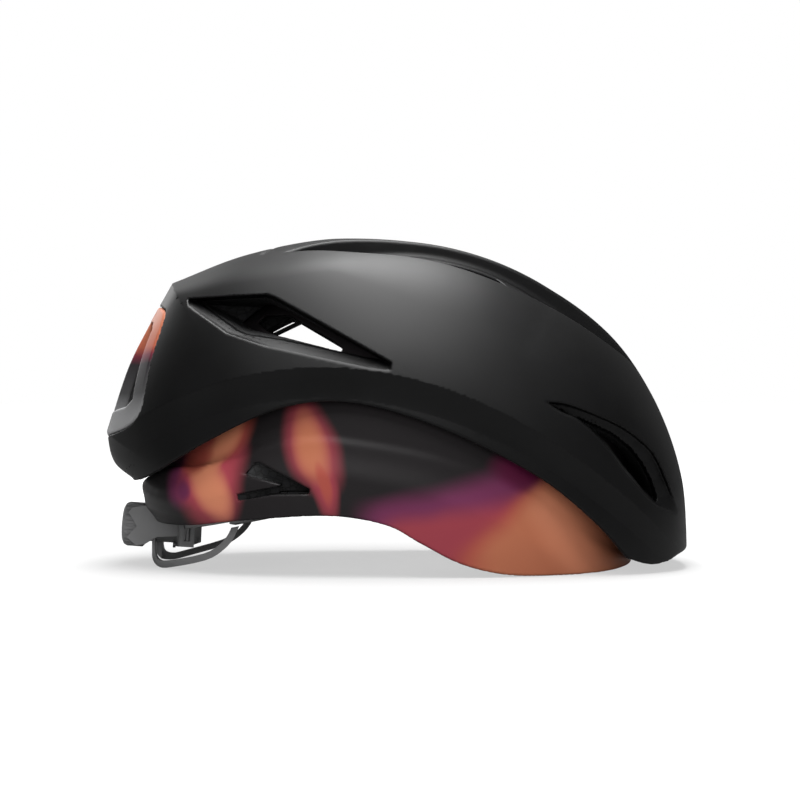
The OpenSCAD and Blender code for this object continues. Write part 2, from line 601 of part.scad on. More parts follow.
// The loops end just under the sleeves in front and under the housing's cheeks behind
sleeve_low = (sleeve_h / 2 - strap_rise) * cos(lean) + (sleeve_t / 2 + layer) * sin(lean) + fit_gap;
function sleeve_foot(x) = belt_centre[1] - sleeve_low * cos(belt_tilt)
    + (x - belt_centre[0] - sleeve_low * sin(belt_tilt)) * tan(belt_tilt);
loop_room = [[-130, -5], [-60, -5], [-60, sleeve_foot(-60)], [-100, sleeve_foot(-100)],
    for (i = [11, 10, 9]) cheek[i] - [0, fit_gap]];
module wing() intersection() {
    translate([0, 75, 0]) rotate([90, 0, 0]) linear_extrude(75 - loop_start) intersection() {
        polygon(strip(loop_line, loop_w));
        polygon(loop_room);
    }
    translate([loop_x, 0, -10]) difference() {
        cylinder(r = loop_r + loop_t / 2, h = 60, $fn = 120);
        translate([0, 0, -1]) cylinder(r = loop_r - loop_t / 2, h = 62, $fn = 120);
    }
}
module wing_left() color(plastic_grey) wing();
module wing_right() color(plastic_grey) mirror([0, 1, 0]) wing();

// Room in the liner for the cradle and its carriage, through their whole swing
room_arc = [for (a = [-11 - cradle_swing : 3 : 1]) pivot + hanger_r * [-cos(a), sin(a)]];
room_out = 6.2;
room_up = 10.7;
module cradle_room() {
    belt_frame() translate([0, 0, -belt_r])
        cylinder(r = belt_r + room_out, h = belt_r + belt_h / 2 + room_up, $fn = 120);
    side_prism(strip(room_arc, carriage_t + 2), -carriage_half_w - 1, carriage_half_w + 1);
}

// Comfort pads on hook dots, against the wall of the cavity
dot_t = 1;
module pad_layer(from, to) difference() {
    cavity_cap(from, 2, 4);
    cavity_cap(to, 2, 4);
}
module pad() intersection() {
    pad_layer(dot_t, dot_t + pad_t);
    children();
}
module brow_shape() side_prism([[72, 15], [88, 12], [120, 12], [120, 34], [85, 36], [66, 40]]);
module crown_shape() plan_prism([[-20, -12], [62, -12], [70, 0], [62, 12], [-20, 12]], 80);
module side_shape(side) side_prism([[-2, 78], [40, 82], [52, 96], [36, 106], [2, 104], [-8, 92]],
    side > 0 ? 20 : -90, side > 0 ? 90 : -20);
module brow_pad() color([0.15, 0.15, 0.16]) pad() brow_shape();
module crown_pad() color([0.15, 0.15, 0.16]) pad() crown_shape();
module side_pad_left() color([0.15, 0.15, 0.16]) pad() side_shape(1);
module side_pad_right() color([0.15, 0.15, 0.16]) pad() side_shape(-1);
module pad_dots() color([0.05, 0.05, 0.05]) intersection() {
    pad_layer(0, dot_t);
    union() {
        for (x = [-8, 48]) translate([x, 0, 100]) cylinder(d = 12, h = 60, $fn = 24);
        for (x = [8, 34]) translate([x, 0, 93]) rotate([90, 0, 0]) cylinder(d = 10, h = 200, center = true, $fn = 24);
        for (y = [-40, 0, 40]) translate([60, y, 25]) rotate([0, 90, 0]) cylinder(d = 10, h = 60, $fn = 24);
    }
}

// Anchors for the chin webbing, set into the lower wall of the liner
anchor_at = [[58, 67, 12, -36], [-45, 82, 34, 8]];
anchor_size = [22, 5, 10];
webbing = [15, 3.2];
module at_anchor(p) translate([p[0], p[1], p[2]]) rotate(p[3]) children();
module strap_anchors() color([0.1, 0.1, 0.1]) both_sides() for (p = anchor_at) at_anchor(p) difference() {
    cube(anchor_size, center = true);
    translate([0, 0, -1.5]) cube([webbing[0], 20, webbing[1]], center = true);
}
// Seats of the anchors, with the way of the webbing out of the slot and down
module anchor_seats() both_sides() for (p = anchor_at) at_anchor(p) {
    cube(anchor_size, center = true);
    translate([0, -8, -1.5]) cube([webbing[0] + 1, 16, webbing[1] + 1], center = true);
    translate([0, 4.4, -9]) cube([webbing[0] + 1, 4, 18], center = true);
}

outer_shell();
outer_foam();
exhaust_frame();
inner_shell();
inner_foam();
slip_posts();
hanger_strap();
hanger_anchor();
temple_anchor_left();
temple_anchor_right();
strap_anchors();
brow_pad();
crown_pad();
side_pad_left();
side_pad_right();
pad_dots();
side_arm_left();
side_arm_right();
housing_base();
housing_cover();
cover_screws();
hanger_carriage();
wing_left();
wing_right();
detent_ring();
belt_left();
belt_right();
dial_wheel();
pinion();
dial_screw();
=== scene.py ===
import math

import bpy
import numpy as np
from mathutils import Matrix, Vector


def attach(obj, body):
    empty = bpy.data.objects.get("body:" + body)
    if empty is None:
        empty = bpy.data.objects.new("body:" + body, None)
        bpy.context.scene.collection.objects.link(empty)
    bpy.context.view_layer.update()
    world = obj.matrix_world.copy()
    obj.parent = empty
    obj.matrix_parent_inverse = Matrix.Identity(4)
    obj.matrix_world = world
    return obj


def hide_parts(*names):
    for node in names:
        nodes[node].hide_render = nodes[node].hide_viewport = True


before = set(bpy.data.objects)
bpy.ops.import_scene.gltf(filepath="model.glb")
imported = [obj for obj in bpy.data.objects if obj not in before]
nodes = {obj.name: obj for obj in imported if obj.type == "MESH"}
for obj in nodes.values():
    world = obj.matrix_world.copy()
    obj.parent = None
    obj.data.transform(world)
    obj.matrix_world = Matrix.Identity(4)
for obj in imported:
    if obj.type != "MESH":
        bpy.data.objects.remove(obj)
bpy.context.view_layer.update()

# Sizes are in millimetres here, and become metres where a mesh is made
MM = 0.001
# Steps of the meshes, and the share of their faces that is kept
GRID = 0.9
COARSE = GRID
FINE = 0.7
SKIN_KEEP = 0.4
FOAM_KEEP = 0.25
FINE_KEEP = 0.5

# Camera at the photograph's angle: level, from the wearer's right
VIEW_DISTANCE = 1100
VIEW_CENTRE = (1.25, 81.5)
PICTURE_SIDE = 800
MM_PER_PIXEL = 0.5
SENSOR_MM = 36
camera_data = bpy.data.cameras.new("camera")
camera_data.sensor_width = SENSOR_MM
camera_data.lens = SENSOR_MM * VIEW_DISTANCE / (PICTURE_SIDE * MM_PER_PIXEL)
camera = bpy.data.objects.new("camera", camera_data)
camera.location = Vector((VIEW_CENTRE[0], -VIEW_DISTANCE, VIEW_CENTRE[1])) * MM
camera.rotation_euler = (math.radians(90), 0, 0)
bpy.context.scene.collection.objects.link(camera)
bpy.context.scene.camera = camera


# Curves and outlines

def smooth(points, steps=8):
    """Smooth curve through the points."""
    p = np.array(points, float)
    p = np.vstack([2 * p[0] - p[1], p, 2 * p[-1] - p[-2]])
    out = []
    for a, b, c, d in zip(p, p[1:], p[2:], p[3:]):
        t = np.linspace(0, 1, steps, endpoint=False)[:, None]
        out.append(0.5 * (2 * b + (c - a) * t + (2 * a - 5 * b + 4 * c - d) * t ** 2
                          + (3 * b - a - 3 * c + d) * t ** 3))
    return np.vstack(out + [p[-2:-1]])


def joined(*lines):
    """Several lines as one, each next one starting where the last one ends."""
    return np.vstack([lines[0]] + [np.array(line)[1:] for line in lines[1:]])


def clamp(v, low=0.0, high=1.0):
    return np.minimum(np.maximum(v, low), high)


def ease(v):
    t = clamp(v)
    return t * t * (3 - 2 * t)


def either(a, b, r=0.0):
    """Union of two solids, with a fillet of about r."""
    if not np.any(r):
        return np.minimum(a, b)
    h = np.maximum(r - np.abs(a - b), 0)
    return np.minimum(a, b) - h * h / (4 * r)


def both(a, b, r=0.0):
    """What two solids share, with a rounded edge of about r."""
    return -either(-a, -b, r)


def without(a, b, r=0.0):
    """The solid a with b cut out of it."""
    return both(a, -b, r)


def remembered(form):
    """Keeps a form's values on the grid that it was last asked for."""
    last = []

    def ask(x, y, z):
        if x.ndim != 3:
            return form(x, y, z)
        if not last or any(a is not b for a, b in zip(last[0], (x, y, z))):
            last[:] = [(x, y, z), form(x, y, z)]
        return last[1]

    return ask


class Outline:
    """Signed distance to a closed outline in one view: side, plan or rear."""

    def __init__(self, points, view="side", step=0.5, margin=25):
        p = np.array(points, float)
        self.view = view
        self.step = step
        self.low = p.min(0) - margin
        count = np.ceil((p.max(0) + margin - self.low) / step).astype(int) + 1
        gx, gz = np.meshgrid(*[self.low[i] + step * np.arange(count[i]) for i in (0, 1)], indexing="ij")
        far = np.full(gx.shape, 1e9)
        inside = np.zeros(gx.shape, bool)
        for a, b in zip(p, np.roll(p, -1, 0)):
            d = b - a
            if d @ d < 1e-9:
                continue
            t = clamp(((gx - a[0]) * d[0] + (gz - a[1]) * d[1]) / (d @ d))
            far = np.minimum(far, (gx - a[0] - t * d[0]) ** 2 + (gz - a[1] - t * d[1]) ** 2)
            crosses = (gz < a[1]) != (gz < b[1])
            if abs(d[1]) > 1e-9:
                inside ^= crosses & (gx < a[0] + (gz - a[1]) * d[0] / d[1])
        self.table = (np.where(inside, -1, 1) * np.sqrt(far)).astype(np.float32)

    def at(self, u, v):
        n = [size - 1.001 for size in self.table.shape]
        fu = (u - self.low[0]) / self.step
        fv = (v - self.low[1]) / self.step
        cu = clamp(fu, 0, n[0])
        cv = clamp(fv, 0, n[1])
        outside = np.hypot(fu - cu, fv - cv) * self.step
        i = cu.astype(int)
        j = cv.astype(int)
        a = cu - i
        b = cv - j
        t = self.table
        near = t[i, j] * (1 - a) + t[i + 1, j] * a
        next_row = t[i, j + 1] * (1 - a) + t[i + 1, j + 1] * a
        return near * (1 - b) + next_row * b + outside

    def __call__(self, x, y, z):
        u, v = {"side": (x, z), "plan": (x, y), "rear": (y, z)}[self.view]
        u, v = np.broadcast_arrays(u, v)
        return self.at(u, v)


def superellipse(u, v, slope_u, slope_v, power):
    """Signed distance to u**power + v**power = 1, from the slopes of u and v."""
    n = np.maximum((u ** power + v ** power) ** (1 / power), 1e-6)
    a = (u / n) ** (power - 1) * slope_u
    b = (v / n) ** (power - 1) * slope_v
    return (n - 1) / np.sqrt(a * a + b * b + 1e-12)


# Angles in a rim's table, and how many of them to each side its corners are worn over
RIM_ANGLES = 1500
WEAR = 105


class Rim:
    """Radius of a side outline about a centre, by angle."""

    def __init__(self, points, centre):
        self.centre = centre
        v = np.array(points, float) - centre
        angle = np.unwrap(np.arctan2(v[:, 1], v[:, 0]))
        order = np.argsort(angle)
        self.angle = np.linspace(angle.min(), angle.max(), RIM_ANGLES)
        self.radius = np.interp(self.angle, angle[order], np.hypot(v[:, 0], v[:, 1])[order])
        self.slope = np.sqrt(1 + (np.gradient(self.radius, self.angle) / self.radius) ** 2) / self.radius
        # The same rim with its corners worn round, for the sides
        spread = np.exp(-0.5 * (np.linspace(-3, 3, 2 * WEAR + 1)) ** 2)
        self.rounded = np.convolve(np.pad(self.radius, WEAR, "edge"), spread / spread.sum(), "valid")

    def polar(self, x, z):
        """Distance from the centre, angle, radius of the rim there, and slope."""
        dx = x - self.centre[0]
        dz = z - self.centre[1]
        angle = np.arctan2(dz, dx)
        angle = np.where(angle < -math.pi / 2, angle + 2 * math.pi, angle)
        return (np.hypot(dx, dz), angle, np.interp(angle, self.angle, self.radius).astype(np.float32),
                np.interp(angle, self.angle, self.slope).astype(np.float32))


# Outer liner

SHELL_HALF_W = 109
SHELL_HALF_L = 140
OUTER_CENTRE = (0, -14)
BULGE = 2.5
crown_rim = smooth([(139, -30), (143.8, 6), (141.5, 44), (128.5, 82), (106, 116.5), (68.5, 144.5),
                    (23.5, 160), (-29, 162.5), (-74, 154.5), (-112, 140)])
tail_rim = smooth([(-112, 140), (-125, 116.5), (-134.5, 96.5), (-144, 67)])
under_rim = smooth([(-144, 67), (-140.5, 52), (-127, 36), (-112, -30)])
outer_rim = Rim(joined(crown_rim, tail_rim, under_rim), OUTER_CENTRE)


# The outer liner narrows to the front and to the rear, and tucks in below a crease along its sides
FRONT_TAPER = 0.03
REAR_TAPER = 0.12
CREASE_TOP = (-35, 96.3)
CREASE_BEND = 0.003
TUCK = 0.05
TUCK_HIGH = 14
TUCK_BEND = 0.6


def width_share(x, z):
    """Half width of the outer liner at full bulge, as a share, with its tapers and the skirt's tuck."""
    taper = np.where(x > 0, FRONT_TAPER, REAR_TAPER) * (x / SHELL_HALF_L) ** 2
    crease = CREASE_TOP[1] - CREASE_BEND * (x - CREASE_TOP[0]) ** 2
    t = clamp((crease - z) / TUCK_HIGH)
    tuck = TUCK * (t * (1 + TUCK_BEND) - TUCK_BEND * t * t)
    return (1 - taper) * (1 - tuck)


# The ridge runs from the tail's corner over the shoulder to the brow, as seen from the side
ridge_line = smooth([(-106, 133), (-83, 139), (-61, 142.5), (-36, 146), (0, 146.5), (30, 141), (50, 134.5),
                     (74, 121), (92, 107), (107, 90), (120, 72), (129, 57), (135, 42), (140, 22)])
# How wide the ridge is rounded, by x
RIDGE_SOFT = ([-110, -30, 5, 70, 100, 118, 136, 144], [1.2, 1.6, 7, 12, 7, 3, 2.5, 6])
# Past its two ends the ridge runs out to this share of the rim's radius, over these angles in radians
RUN_OUT = 0.996
RUN_OUT_FRONT = 0.1
RUN_OUT_REAR = 0.25


def ridge_table():
    """Share of the rim's radius where the ridge lies, by angle, and how sharp it is."""
    v = ridge_line - OUTER_CENTRE
    angle = np.arctan2(v[:, 1], v[:, 0])
    reach = np.hypot(v[:, 0], v[:, 1])
    share = reach / np.interp(angle, outer_rim.angle, outer_rim.radius)
    order = np.argsort(angle)
    soft = np.interp(ridge_line[:, 0], *RIDGE_SOFT)
    angle, share, soft = angle[order], share[order], soft[order]
    return (np.concatenate([[angle[0] - RUN_OUT_FRONT], angle, [angle[-1] + RUN_OUT_REAR]]),
            np.concatenate([[RUN_OUT], share, [RUN_OUT]]), np.concatenate([soft[:1], soft, soft[-1:]]))


RIDGE = ridge_table()
# Power by which the top plate falls off sideways, from the middle to the ridge
PLATE_BEND = 1.7
# The rim's corners are worn round from this share of the half width outwards, and over this much of it
WORN_FROM = 0.25
WORN_OVER = 0.45
# A fine seam runs across the crown in front of the tail's plate
SEAM_X = -60
SEAM_DEEP = 0.9
SEAM_WIDE = 1.3
SEAM_SWEEP = 0.25
SEAM_HALF_LONG = 26
SEAM_FADE = 4
SEAM_FROM = 130
SEAM_RISE = 10


@remembered
def outer_body(x, y, z):
    """The outer liner's closed outer form."""
    reach, angle, radius, slope = outer_rim.polar(x, z)
    share = np.broadcast_to(width_share(x, z), reach.shape)
    half = SHELL_HALF_W * share
    side = np.abs(y) / half
    rounded = np.interp(angle, outer_rim.angle, outer_rim.rounded).astype(np.float32)
    side_radius = radius + (rounded - radius) * ease((side - WORN_FROM) / WORN_OVER)
    body = superellipse(reach / side_radius, side, slope, 1 / half, BULGE)
    ridge = np.interp(angle, RIDGE[0], RIDGE[1]).astype(np.float32)
    soft = np.interp(angle, RIDGE[0], RIDGE[2]).astype(np.float32)
    ridge_side = np.maximum(1 - ridge ** BULGE, 1e-6) ** (1 / BULGE)
    plate = (reach / radius - 1 + (1 - ridge) * (side / ridge_side) ** PLATE_BEND) / slope
    rise = PLATE_BEND * (1 - ridge) / slope * side ** (PLATE_BEND - 1) / ridge_side ** PLATE_BEND / half
    plate = plate / np.sqrt(1 + rise ** 2)
    form = both(body, plate, soft)
    across = np.exp(-((x - SEAM_X + SEAM_SWEEP * np.abs(y)) / SEAM_WIDE) ** 2)
    seam = across * clamp((SEAM_HALF_LONG - np.abs(y)) / SEAM_FADE)
    return form + SEAM_DEEP * seam * clamp((z - SEAM_FROM) / SEAM_RISE)


# The outer liner's lower edge and its openings, as seen from the side where no other view is named
arch = joined(smooth([(-128, 41.5), (-114.6, 47), (-86.5, 63), (-58.6, 76), (-33, 80.6), (-5.6, 77),
                      (29, 64.6), (65.7, 45.4), (91.7, 24.4), (106.8, 7.9)]),
              smooth([(106.8, 7.9), (118, 4.4), (128, 5), (136, 8.2), (150, 10.5)]))
# Beyond the part on every side
FAR = 210
# Below this height over the arch the space behind the rim is wider
RELIEF_HIGH = 9


def above(line, lift=0.0):
    """All that lies above a line, or above the line raised by lift."""
    line = np.array(line) + (0, lift)
    return np.vstack([[(-FAR, line[0][1])], line, [(FAR, line[-1][1]), (FAR, FAR), (-FAR, FAR)]])


over_arch = Outline(above(arch))
over_relief = Outline(above(arch, RELIEF_HIGH))
rear_vent = Outline(joined([(-88, 118.8), (-99, 126), (-99.6, 129.6), (-61.5, 131), (-57.7, 129.6),
                            (-3, 98.5), (-3.4, 95.3), (-10.7, 95.8), (-38.8, 101.7), (-59.9, 106.3),
                            (-79.3, 112.8)]))
rear_throat = Outline([(-95.5, 128.6), (-90.3, 124.4), (-75.1, 113.9), (-70.3, 111.8), (-53.3, 109.2),
                       (-25.8, 103.2), (-13, 100.5), (-5, 99.4), (-57.7, 129.6), (-61.5, 131), (-97, 130)])
front_vent = Outline(joined(
    smooth([(69, 80.5), (80.2, 78.7), (101.8, 70.2), (114.5, 62), (121.6, 54.7), (128.2, 41.1),
            (133.8, 27.5)]),
    smooth([(133.8, 27.5), (123.9, 31.2), (116.9, 36.5), (106.1, 48.1), (97.6, 59.4), (84.9, 71.6),
            (75, 76.5), (69, 80.5)])))
front_throat = Outline([(72, 79), (79, 75.3), (90.6, 70.6), (100.8, 65.8), (109.3, 59.5), (115.6, 52),
                        (120.3, 43.6), (123, 35), (122.5, 32.4), (116.9, 36.5), (106.1, 48.1), (97.6, 59.4),
                        (84.9, 71.6), (75, 76.5)])
channel = Outline(smooth([(-54, 31), (-40, 36.5), (-19, 44.5), (10, 46.5), (46, 50), (66, 48), (91, 42.5),
                          (104, 35), (113, 23), (117, 17), (100, 14), (60, 15), (0, 18), (-34, 23),
                          (-54, 31)]), "plan")
channel_slots = [Outline(p, "plan") for p in (
    [(-38, 30), (-30, 37.5), (0, 39.5), (4, 34), (2, 27), (-32, 25)],
    [(15, 28), (15, 38), (48, 36.5), (52, 30), (48, 24)],
    [(62, 24), (62, 33.5), (84, 28.5), (97, 22), (92, 19)])]
tail_frame = Outline(smooth([(-30, 126), (0, 127.5), (30, 126), (43, 121), (51, 100), (57, 78), (50, 69),
                             (28, 64.5), (0, 63), (-28, 64.5), (-50, 69), (-57, 78), (-51, 100), (-43, 121),
                             (-30, 126)]), "rear")
dial_notch = Outline([(-18.5, -50), (-18.5, 32), (-15.5, 44.5), (-9, 46.5), (9, 46.5), (15.5, 44.5),
                      (18.5, 32), (18.5, -50)], "rear")
tail_port = Outline([(8, 119.5), (30, 118.5), (36.5, 115), (43, 98), (48.5, 82), (44, 78.5), (26, 76.5),
                     (10, 76)], "rear")

# The slip surface, the gap over it, and the wider space behind the outer rim
SLIP_CENTRE = (0, 34)
SLIP_R = 115
SLIP_HALF_W = 93
SLIP_GAP = 0.4
RELIEF_R = 131.5
RELIEF_HALF_W = 95.5


def slip_body(x, y, z, r, w):
    """A body of revolution about Y, of radius r and half width w."""
    reach = np.hypot(x - SLIP_CENTRE[0], z - SLIP_CENTRE[1])
    return superellipse(reach / r, np.abs(y) / w, 1 / r, 1 / w, BULGE)


@remembered
def slip_space(x, y, z):
    """Space inside the outer liner, over the slip surface."""
    wide = without(slip_body(x, y, z, RELIEF_R, RELIEF_HALF_W), over_relief(x, y, z))
    return either(slip_body(x, y, z, SLIP_R + SLIP_GAP, SLIP_HALF_W + SLIP_GAP), wide, r=2)


# Depth of the skinned lips in the vents, and of their throats; how steeply each lip leans in down to its
# throat, and how little the wall leans below it; how near the middle plane each vent reaches
LIP_DEEP = 8
THROAT_DEEP = 5
REAR_FLARE = 0.95
FRONT_FLARE = 2
BELOW_THROAT = 0.2
REAR_VENT_IN = 25
FRONT_VENT_IN = 22
# Depth of the top channels, and the least that they leave over the slip surface
CHANNEL_DEEP = 9
CHANNEL_FLOOR = 3.4
# Lean of a channel's inner wall, and how much more its outer side leans, from which distance and over what
WALL_LEAN = 0.12
RAMP_LEAN = 0.55
RAMP_FROM = 26
RAMP_OVER = 8


def flared(mouth, throat, flare, x, side, z, deep):
    """A vent that narrows from its mouth to its throat, and then leans in a little more."""
    past = deep - THROAT_DEEP
    wall = throat(x, side, z) + np.where(past < 0, flare, BELOW_THROAT) * past
    steep = 1 + (math.hypot(1, flare) - 1) * clamp(-past)
    return both(mouth(x, side, z), wall / steep, r=1)


@remembered
def vents(x, y, z):
    """The side vents, with a broad lip along one side of each."""
    side = np.abs(y)
    deep = np.maximum(-outer_body(x, y, z), 0)
    rear = flared(rear_vent, rear_throat, REAR_FLARE, x, side, z, deep)
    front = flared(front_vent, front_throat, FRONT_FLARE, x, side, z, deep)
    return either(both(rear, REAR_VENT_IN - side, r=1), both(front, FRONT_VENT_IN - side, r=1))


@remembered
def troughs(x, y, z):
    """The top channels, down to their floor, with the outer side of each as a ramp."""
    body = outer_body(x, y, z)
    side = np.abs(y)
    lean = WALL_LEAN + RAMP_LEAN * ease((side - RAMP_FROM) / RAMP_OVER)
    floor = both(-CHANNEL_DEEP - body, CHANNEL_FLOOR - slip_space(x, y, z), r=2)
    return both(channel(x, side, z) + lean * np.maximum(-body, 0), floor, r=3)


@remembered
def outer_face(x, y, z):
    """The form that the skin covers: the body with its channels and the mouths of its vents."""
    body = outer_body(x, y, z)
    face = without(body, troughs(x, y, z), r=1.3)
    return without(face, both(vents(x, y, z), -LIP_DEEP - body, r=1), r=1.3)


# Where the slots start above the ground, and how far forward the cuts in the tail reach
SLOT_FROM = 60
PORT_TO = -70
DIAL_NOTCH_TO = -100
FRAME_TO = -90


def outer_cuts(x, y, z):
    """Vents, top channels, tail ports and the notch over the dial."""
    side = np.abs(y)
    cut = either(vents(x, y, z), troughs(x, y, z))
    for slot in channel_slots:
        cut = either(cut, both(slot(x, side, z), SLOT_FROM - z), r=0.8)
    cut = either(cut, both(tail_port(x, side, z), x - PORT_TO))
    return either(cut, both(dial_notch(x, y, z), x - DIAL_NOTCH_TO))


@remembered
def outer_liner(x, y, z):
    """The outer liner as one solid, skin and foam together."""
    form = both(outer_body(x, y, z), over_arch(x, y, z), r=1.6)
    form = without(form, slip_space(x, y, z), r=1)
    return without(form, outer_cuts(x, y, z), r=1.3)


# The outer skin, and the seat of the tail's frame with the gap round it
SKIN = 1.6
FRAME_DEEP = 6
FRAME_GAP = 0.35


def outer_shell_form(x, y, z):
    form = both(outer_liner(x, y, z), -SKIN - outer_face(x, y, z), r=0.4)
    return without(form, both(tail_frame(x, y, z) - FRAME_GAP, x - FRAME_TO), r=0.9)


def outer_foam_form(x, y, z):
    form = both(outer_liner(x, y, z), outer_face(x, y, z) + SKIN, r=0.4)
    seat = both(tail_frame(x, y, z), x - FRAME_TO)
    return without(form, both(seat, -FRAME_DEEP - outer_body(x, y, z)))


def exhaust_frame_form(x, y, z):
    body = outer_body(x, y, z)
    band = both(body, -FRAME_DEEP - body, r=0.8)
    form = both(band, both(tail_frame(x, y, z), x - FRAME_TO, r=0.6), r=0.9)
    return without(form, tail_port(x, np.abs(y), z), r=1.6)


# Inner liner

FLARE_CENTRE = (-5, 10)
flare_rim = Rim(smooth([(108, -40), (118, -2), (119, 30), (100, 90), (40, 140), (-60, 140), (-118, 90),
                        (-129.5, 48), (-127.5, 33), (-117, 16), (-104, -40)]), FLARE_CENTRE)
flare_crease = Outline(above(smooth([
    (-140, 41), (-128, 41), (-116, 47), (-104, 50), (-94, 50.5), (-73, 54.5), (-62.7, 59), (-38.5, 61.9),
    (-18.4, 60), (14.5, 53.6), (44.7, 42.6), (60.7, 34.9), (79.4, 22), (96, 11.5), (108, 7), (118, 5.2),
    (126, 5)])))
inner_edge = Outline(above(smooth([
    (-150, 23), (-103, 22.3), (-74.7, 25.6), (-32.6, 28.5), (-5.6, 24.4), (10.4, 16.1), (29, 6.5), (50, 1.2),
    (74, 0.15), (99, 0.4), (113, 1.7), (120, 3.6), (140, 9)])))


FLARE_HALF_W = 98
FLARE_FRONT_TAPER = 0.12
FLARE_REAR_TAPER = 0.1
# Towards the crease the skirt leans in by so much, over so much of its height
FLARE_LEAN = 3.2
FLARE_LEAN_HIGH = 16


@remembered
def inner_body(x, y, z):
    """The inner liner's closed outer form: the slip surface over a flared skirt."""
    reach, _, radius, slope = flare_rim.polar(x, z)
    along = x - FLARE_CENTRE[0]
    taper = np.where(along > 0, FLARE_FRONT_TAPER, FLARE_REAR_TAPER) * (along / SHELL_HALF_L) ** 2
    half = FLARE_HALF_W * (1 - taper)
    flare = superellipse(reach / radius, np.abs(y) / half, slope, 1 / half, BULGE)
    below = flare_crease(x, y, z)
    skirt = without(flare + FLARE_LEAN * ease((FLARE_LEAN_HIGH - below) / FLARE_LEAN_HIGH), below, r=3)
    return either(slip_body(x, y, z, SLIP_R, SLIP_HALF_W), skirt, r=5)


CAVITY_CENTRE = (-4, 38)
CAVITY_HALF_L = 100
CAVITY_HALF_W = 78
CAVITY_HALF_H = 93
CAVITY_BULGE = 2.3
turn = np.radians(np.arange(-88, 268, 2))
cavity_reach = (np.abs(np.cos(turn) / CAVITY_HALF_L) ** CAVITY_BULGE
                + np.abs(np.sin(turn) / CAVITY_HALF_H) ** CAVITY_BULGE) ** (-1 / CAVITY_BULGE)
cavity_rim = Rim(np.stack([CAVITY_CENTRE[0] + cavity_reach * np.cos(turn),
                           CAVITY_CENTRE[1] + cavity_reach * np.sin(turn)], 1), CAVITY_CENTRE)


def cavity_cap(x, y, z):
    reach, _, radius, slope = cavity_rim.polar(x, z)
    return superellipse(reach / radius, np.abs(y) / CAVITY_HALF_W, slope, 1 / CAVITY_HALF_W, BULGE)


def head_cavity(x, y, z):
    column = superellipse(np.abs(x - CAVITY_CENTRE[0]) / CAVITY_HALF_L, np.abs(y) / CAVITY_HALF_W,
                          1 / CAVITY_HALF_L, 1 / CAVITY_HALF_W, power=2.0)
    return either(cavity_cap(x, y, z), both(column, z - CAVITY_CENTRE[1]), r=4)


v_vent = Outline([(-72.3, 50.9), (-69.6, 52.6), (-63.6, 52.7), (-40, 40.8), (-40.3, 38.6), (-58, 38),
                  (-73.2, 35), (-73.8, 38), (-52, 42.4), (-72.3, 47.6)])
inner_side_port = Outline([(-67, 118.5), (-63, 122), (-52, 122), (-30, 109.2), (-25.4, 105), (-26.6, 103.6),
                           (-53, 109.8), (-62, 114.2)])
inner_front_port = Outline([(72, 62), (88, 58), (98, 44), (92, 34), (78, 44), (66, 56)])
inner_tail_port = Outline([(10, 108), (30, 106), (38, 92), (40, 84), (10, 82)], "rear")
nape_notch = Outline([(-31, -20), (31, -20), (31, 34), (24, 43.5), (-24, 43.5), (-31, 34)], "rear")
# How near the middle plane the side cuts reach, and how far forward the rear ones do
V_VENT_FLOOR = 84
SIDE_PORT_IN = 22
FRONT_PORT_IN = 20
INNER_PORT_TO = -60
NAPE_NOTCH_TO = -70

BELT_TILT = math.radians(12)
BELT_R = 70
DIAL_POINT = (-106, 17.8)
BELT_CENTRE = (DIAL_POINT[0] + BELT_R * math.cos(BELT_TILT), DIAL_POINT[1] + BELT_R * math.sin(BELT_TILT))
PIVOT_REACH = 79
PIVOT = (BELT_CENTRE[0] + PIVOT_REACH * math.cos(BELT_TILT),
         BELT_CENTRE[1] + PIVOT_REACH * math.sin(BELT_TILT))
HANGER_R = 142
# Room round the belts and over them, and the carriage's room about the strap: its half depth and half width,
# and how far forward and up it reaches
BELT_ROOM = 6.2
DRUM_TOP = 16.7
RAIL_ROOM = 3.8
RAIL_HALF_W = 10.5
RAIL_TO = -60
RAIL_TOP = 60
# Room behind the strap, half width of its own channel, and the heights where its arc ends and its roof starts
STRAP_ROOM = 2
STRAP_CHANNEL_HALF_W = 8.5
STRAP_ARC_TOP = 82
STRAP_ROOF_FROM = 80
hanger_roof = Outline([(-98, 78), (-91.7, 96), (-77.1, 108), (-57.9, 118), (-37.8, 127.3), (-33, 126),
                       (-40, 60), (-97, 60)])


def cradle_room(x, y, z):
    """Room in the liner for the cradle and its carriage."""
    u = (x - BELT_CENTRE[0]) * math.cos(BELT_TILT) + (z - BELT_CENTRE[1]) * math.sin(BELT_TILT)
    v = (z - BELT_CENTRE[1]) * math.cos(BELT_TILT) - (x - BELT_CENTRE[0]) * math.sin(BELT_TILT)
    drum = both(np.hypot(u, y) - BELT_R - BELT_ROOM, v - DRUM_TOP, r=1.5)
    ring = np.abs(np.hypot(x - PIVOT[0], z - PIVOT[1]) - HANGER_R) - RAIL_ROOM
    rail = both(both(ring, np.abs(y) - RAIL_HALF_W), both(x - RAIL_TO, z - RAIL_TOP))
    return either(drum, rail, r=1)


def strap_channel(x, y, z):
    """Channel up the middle of the cavity for the hanger strap."""
    arc = np.hypot(x - PIVOT[0], z - PIVOT[1]) - HANGER_R - STRAP_ROOM
    low = both(arc, z - STRAP_ARC_TOP)
    top = both(hanger_roof(x, y, z), STRAP_ROOF_FROM - z)
    return both(either(low, top), np.abs(y) - STRAP_CHANNEL_HALF_W, r=1.5)


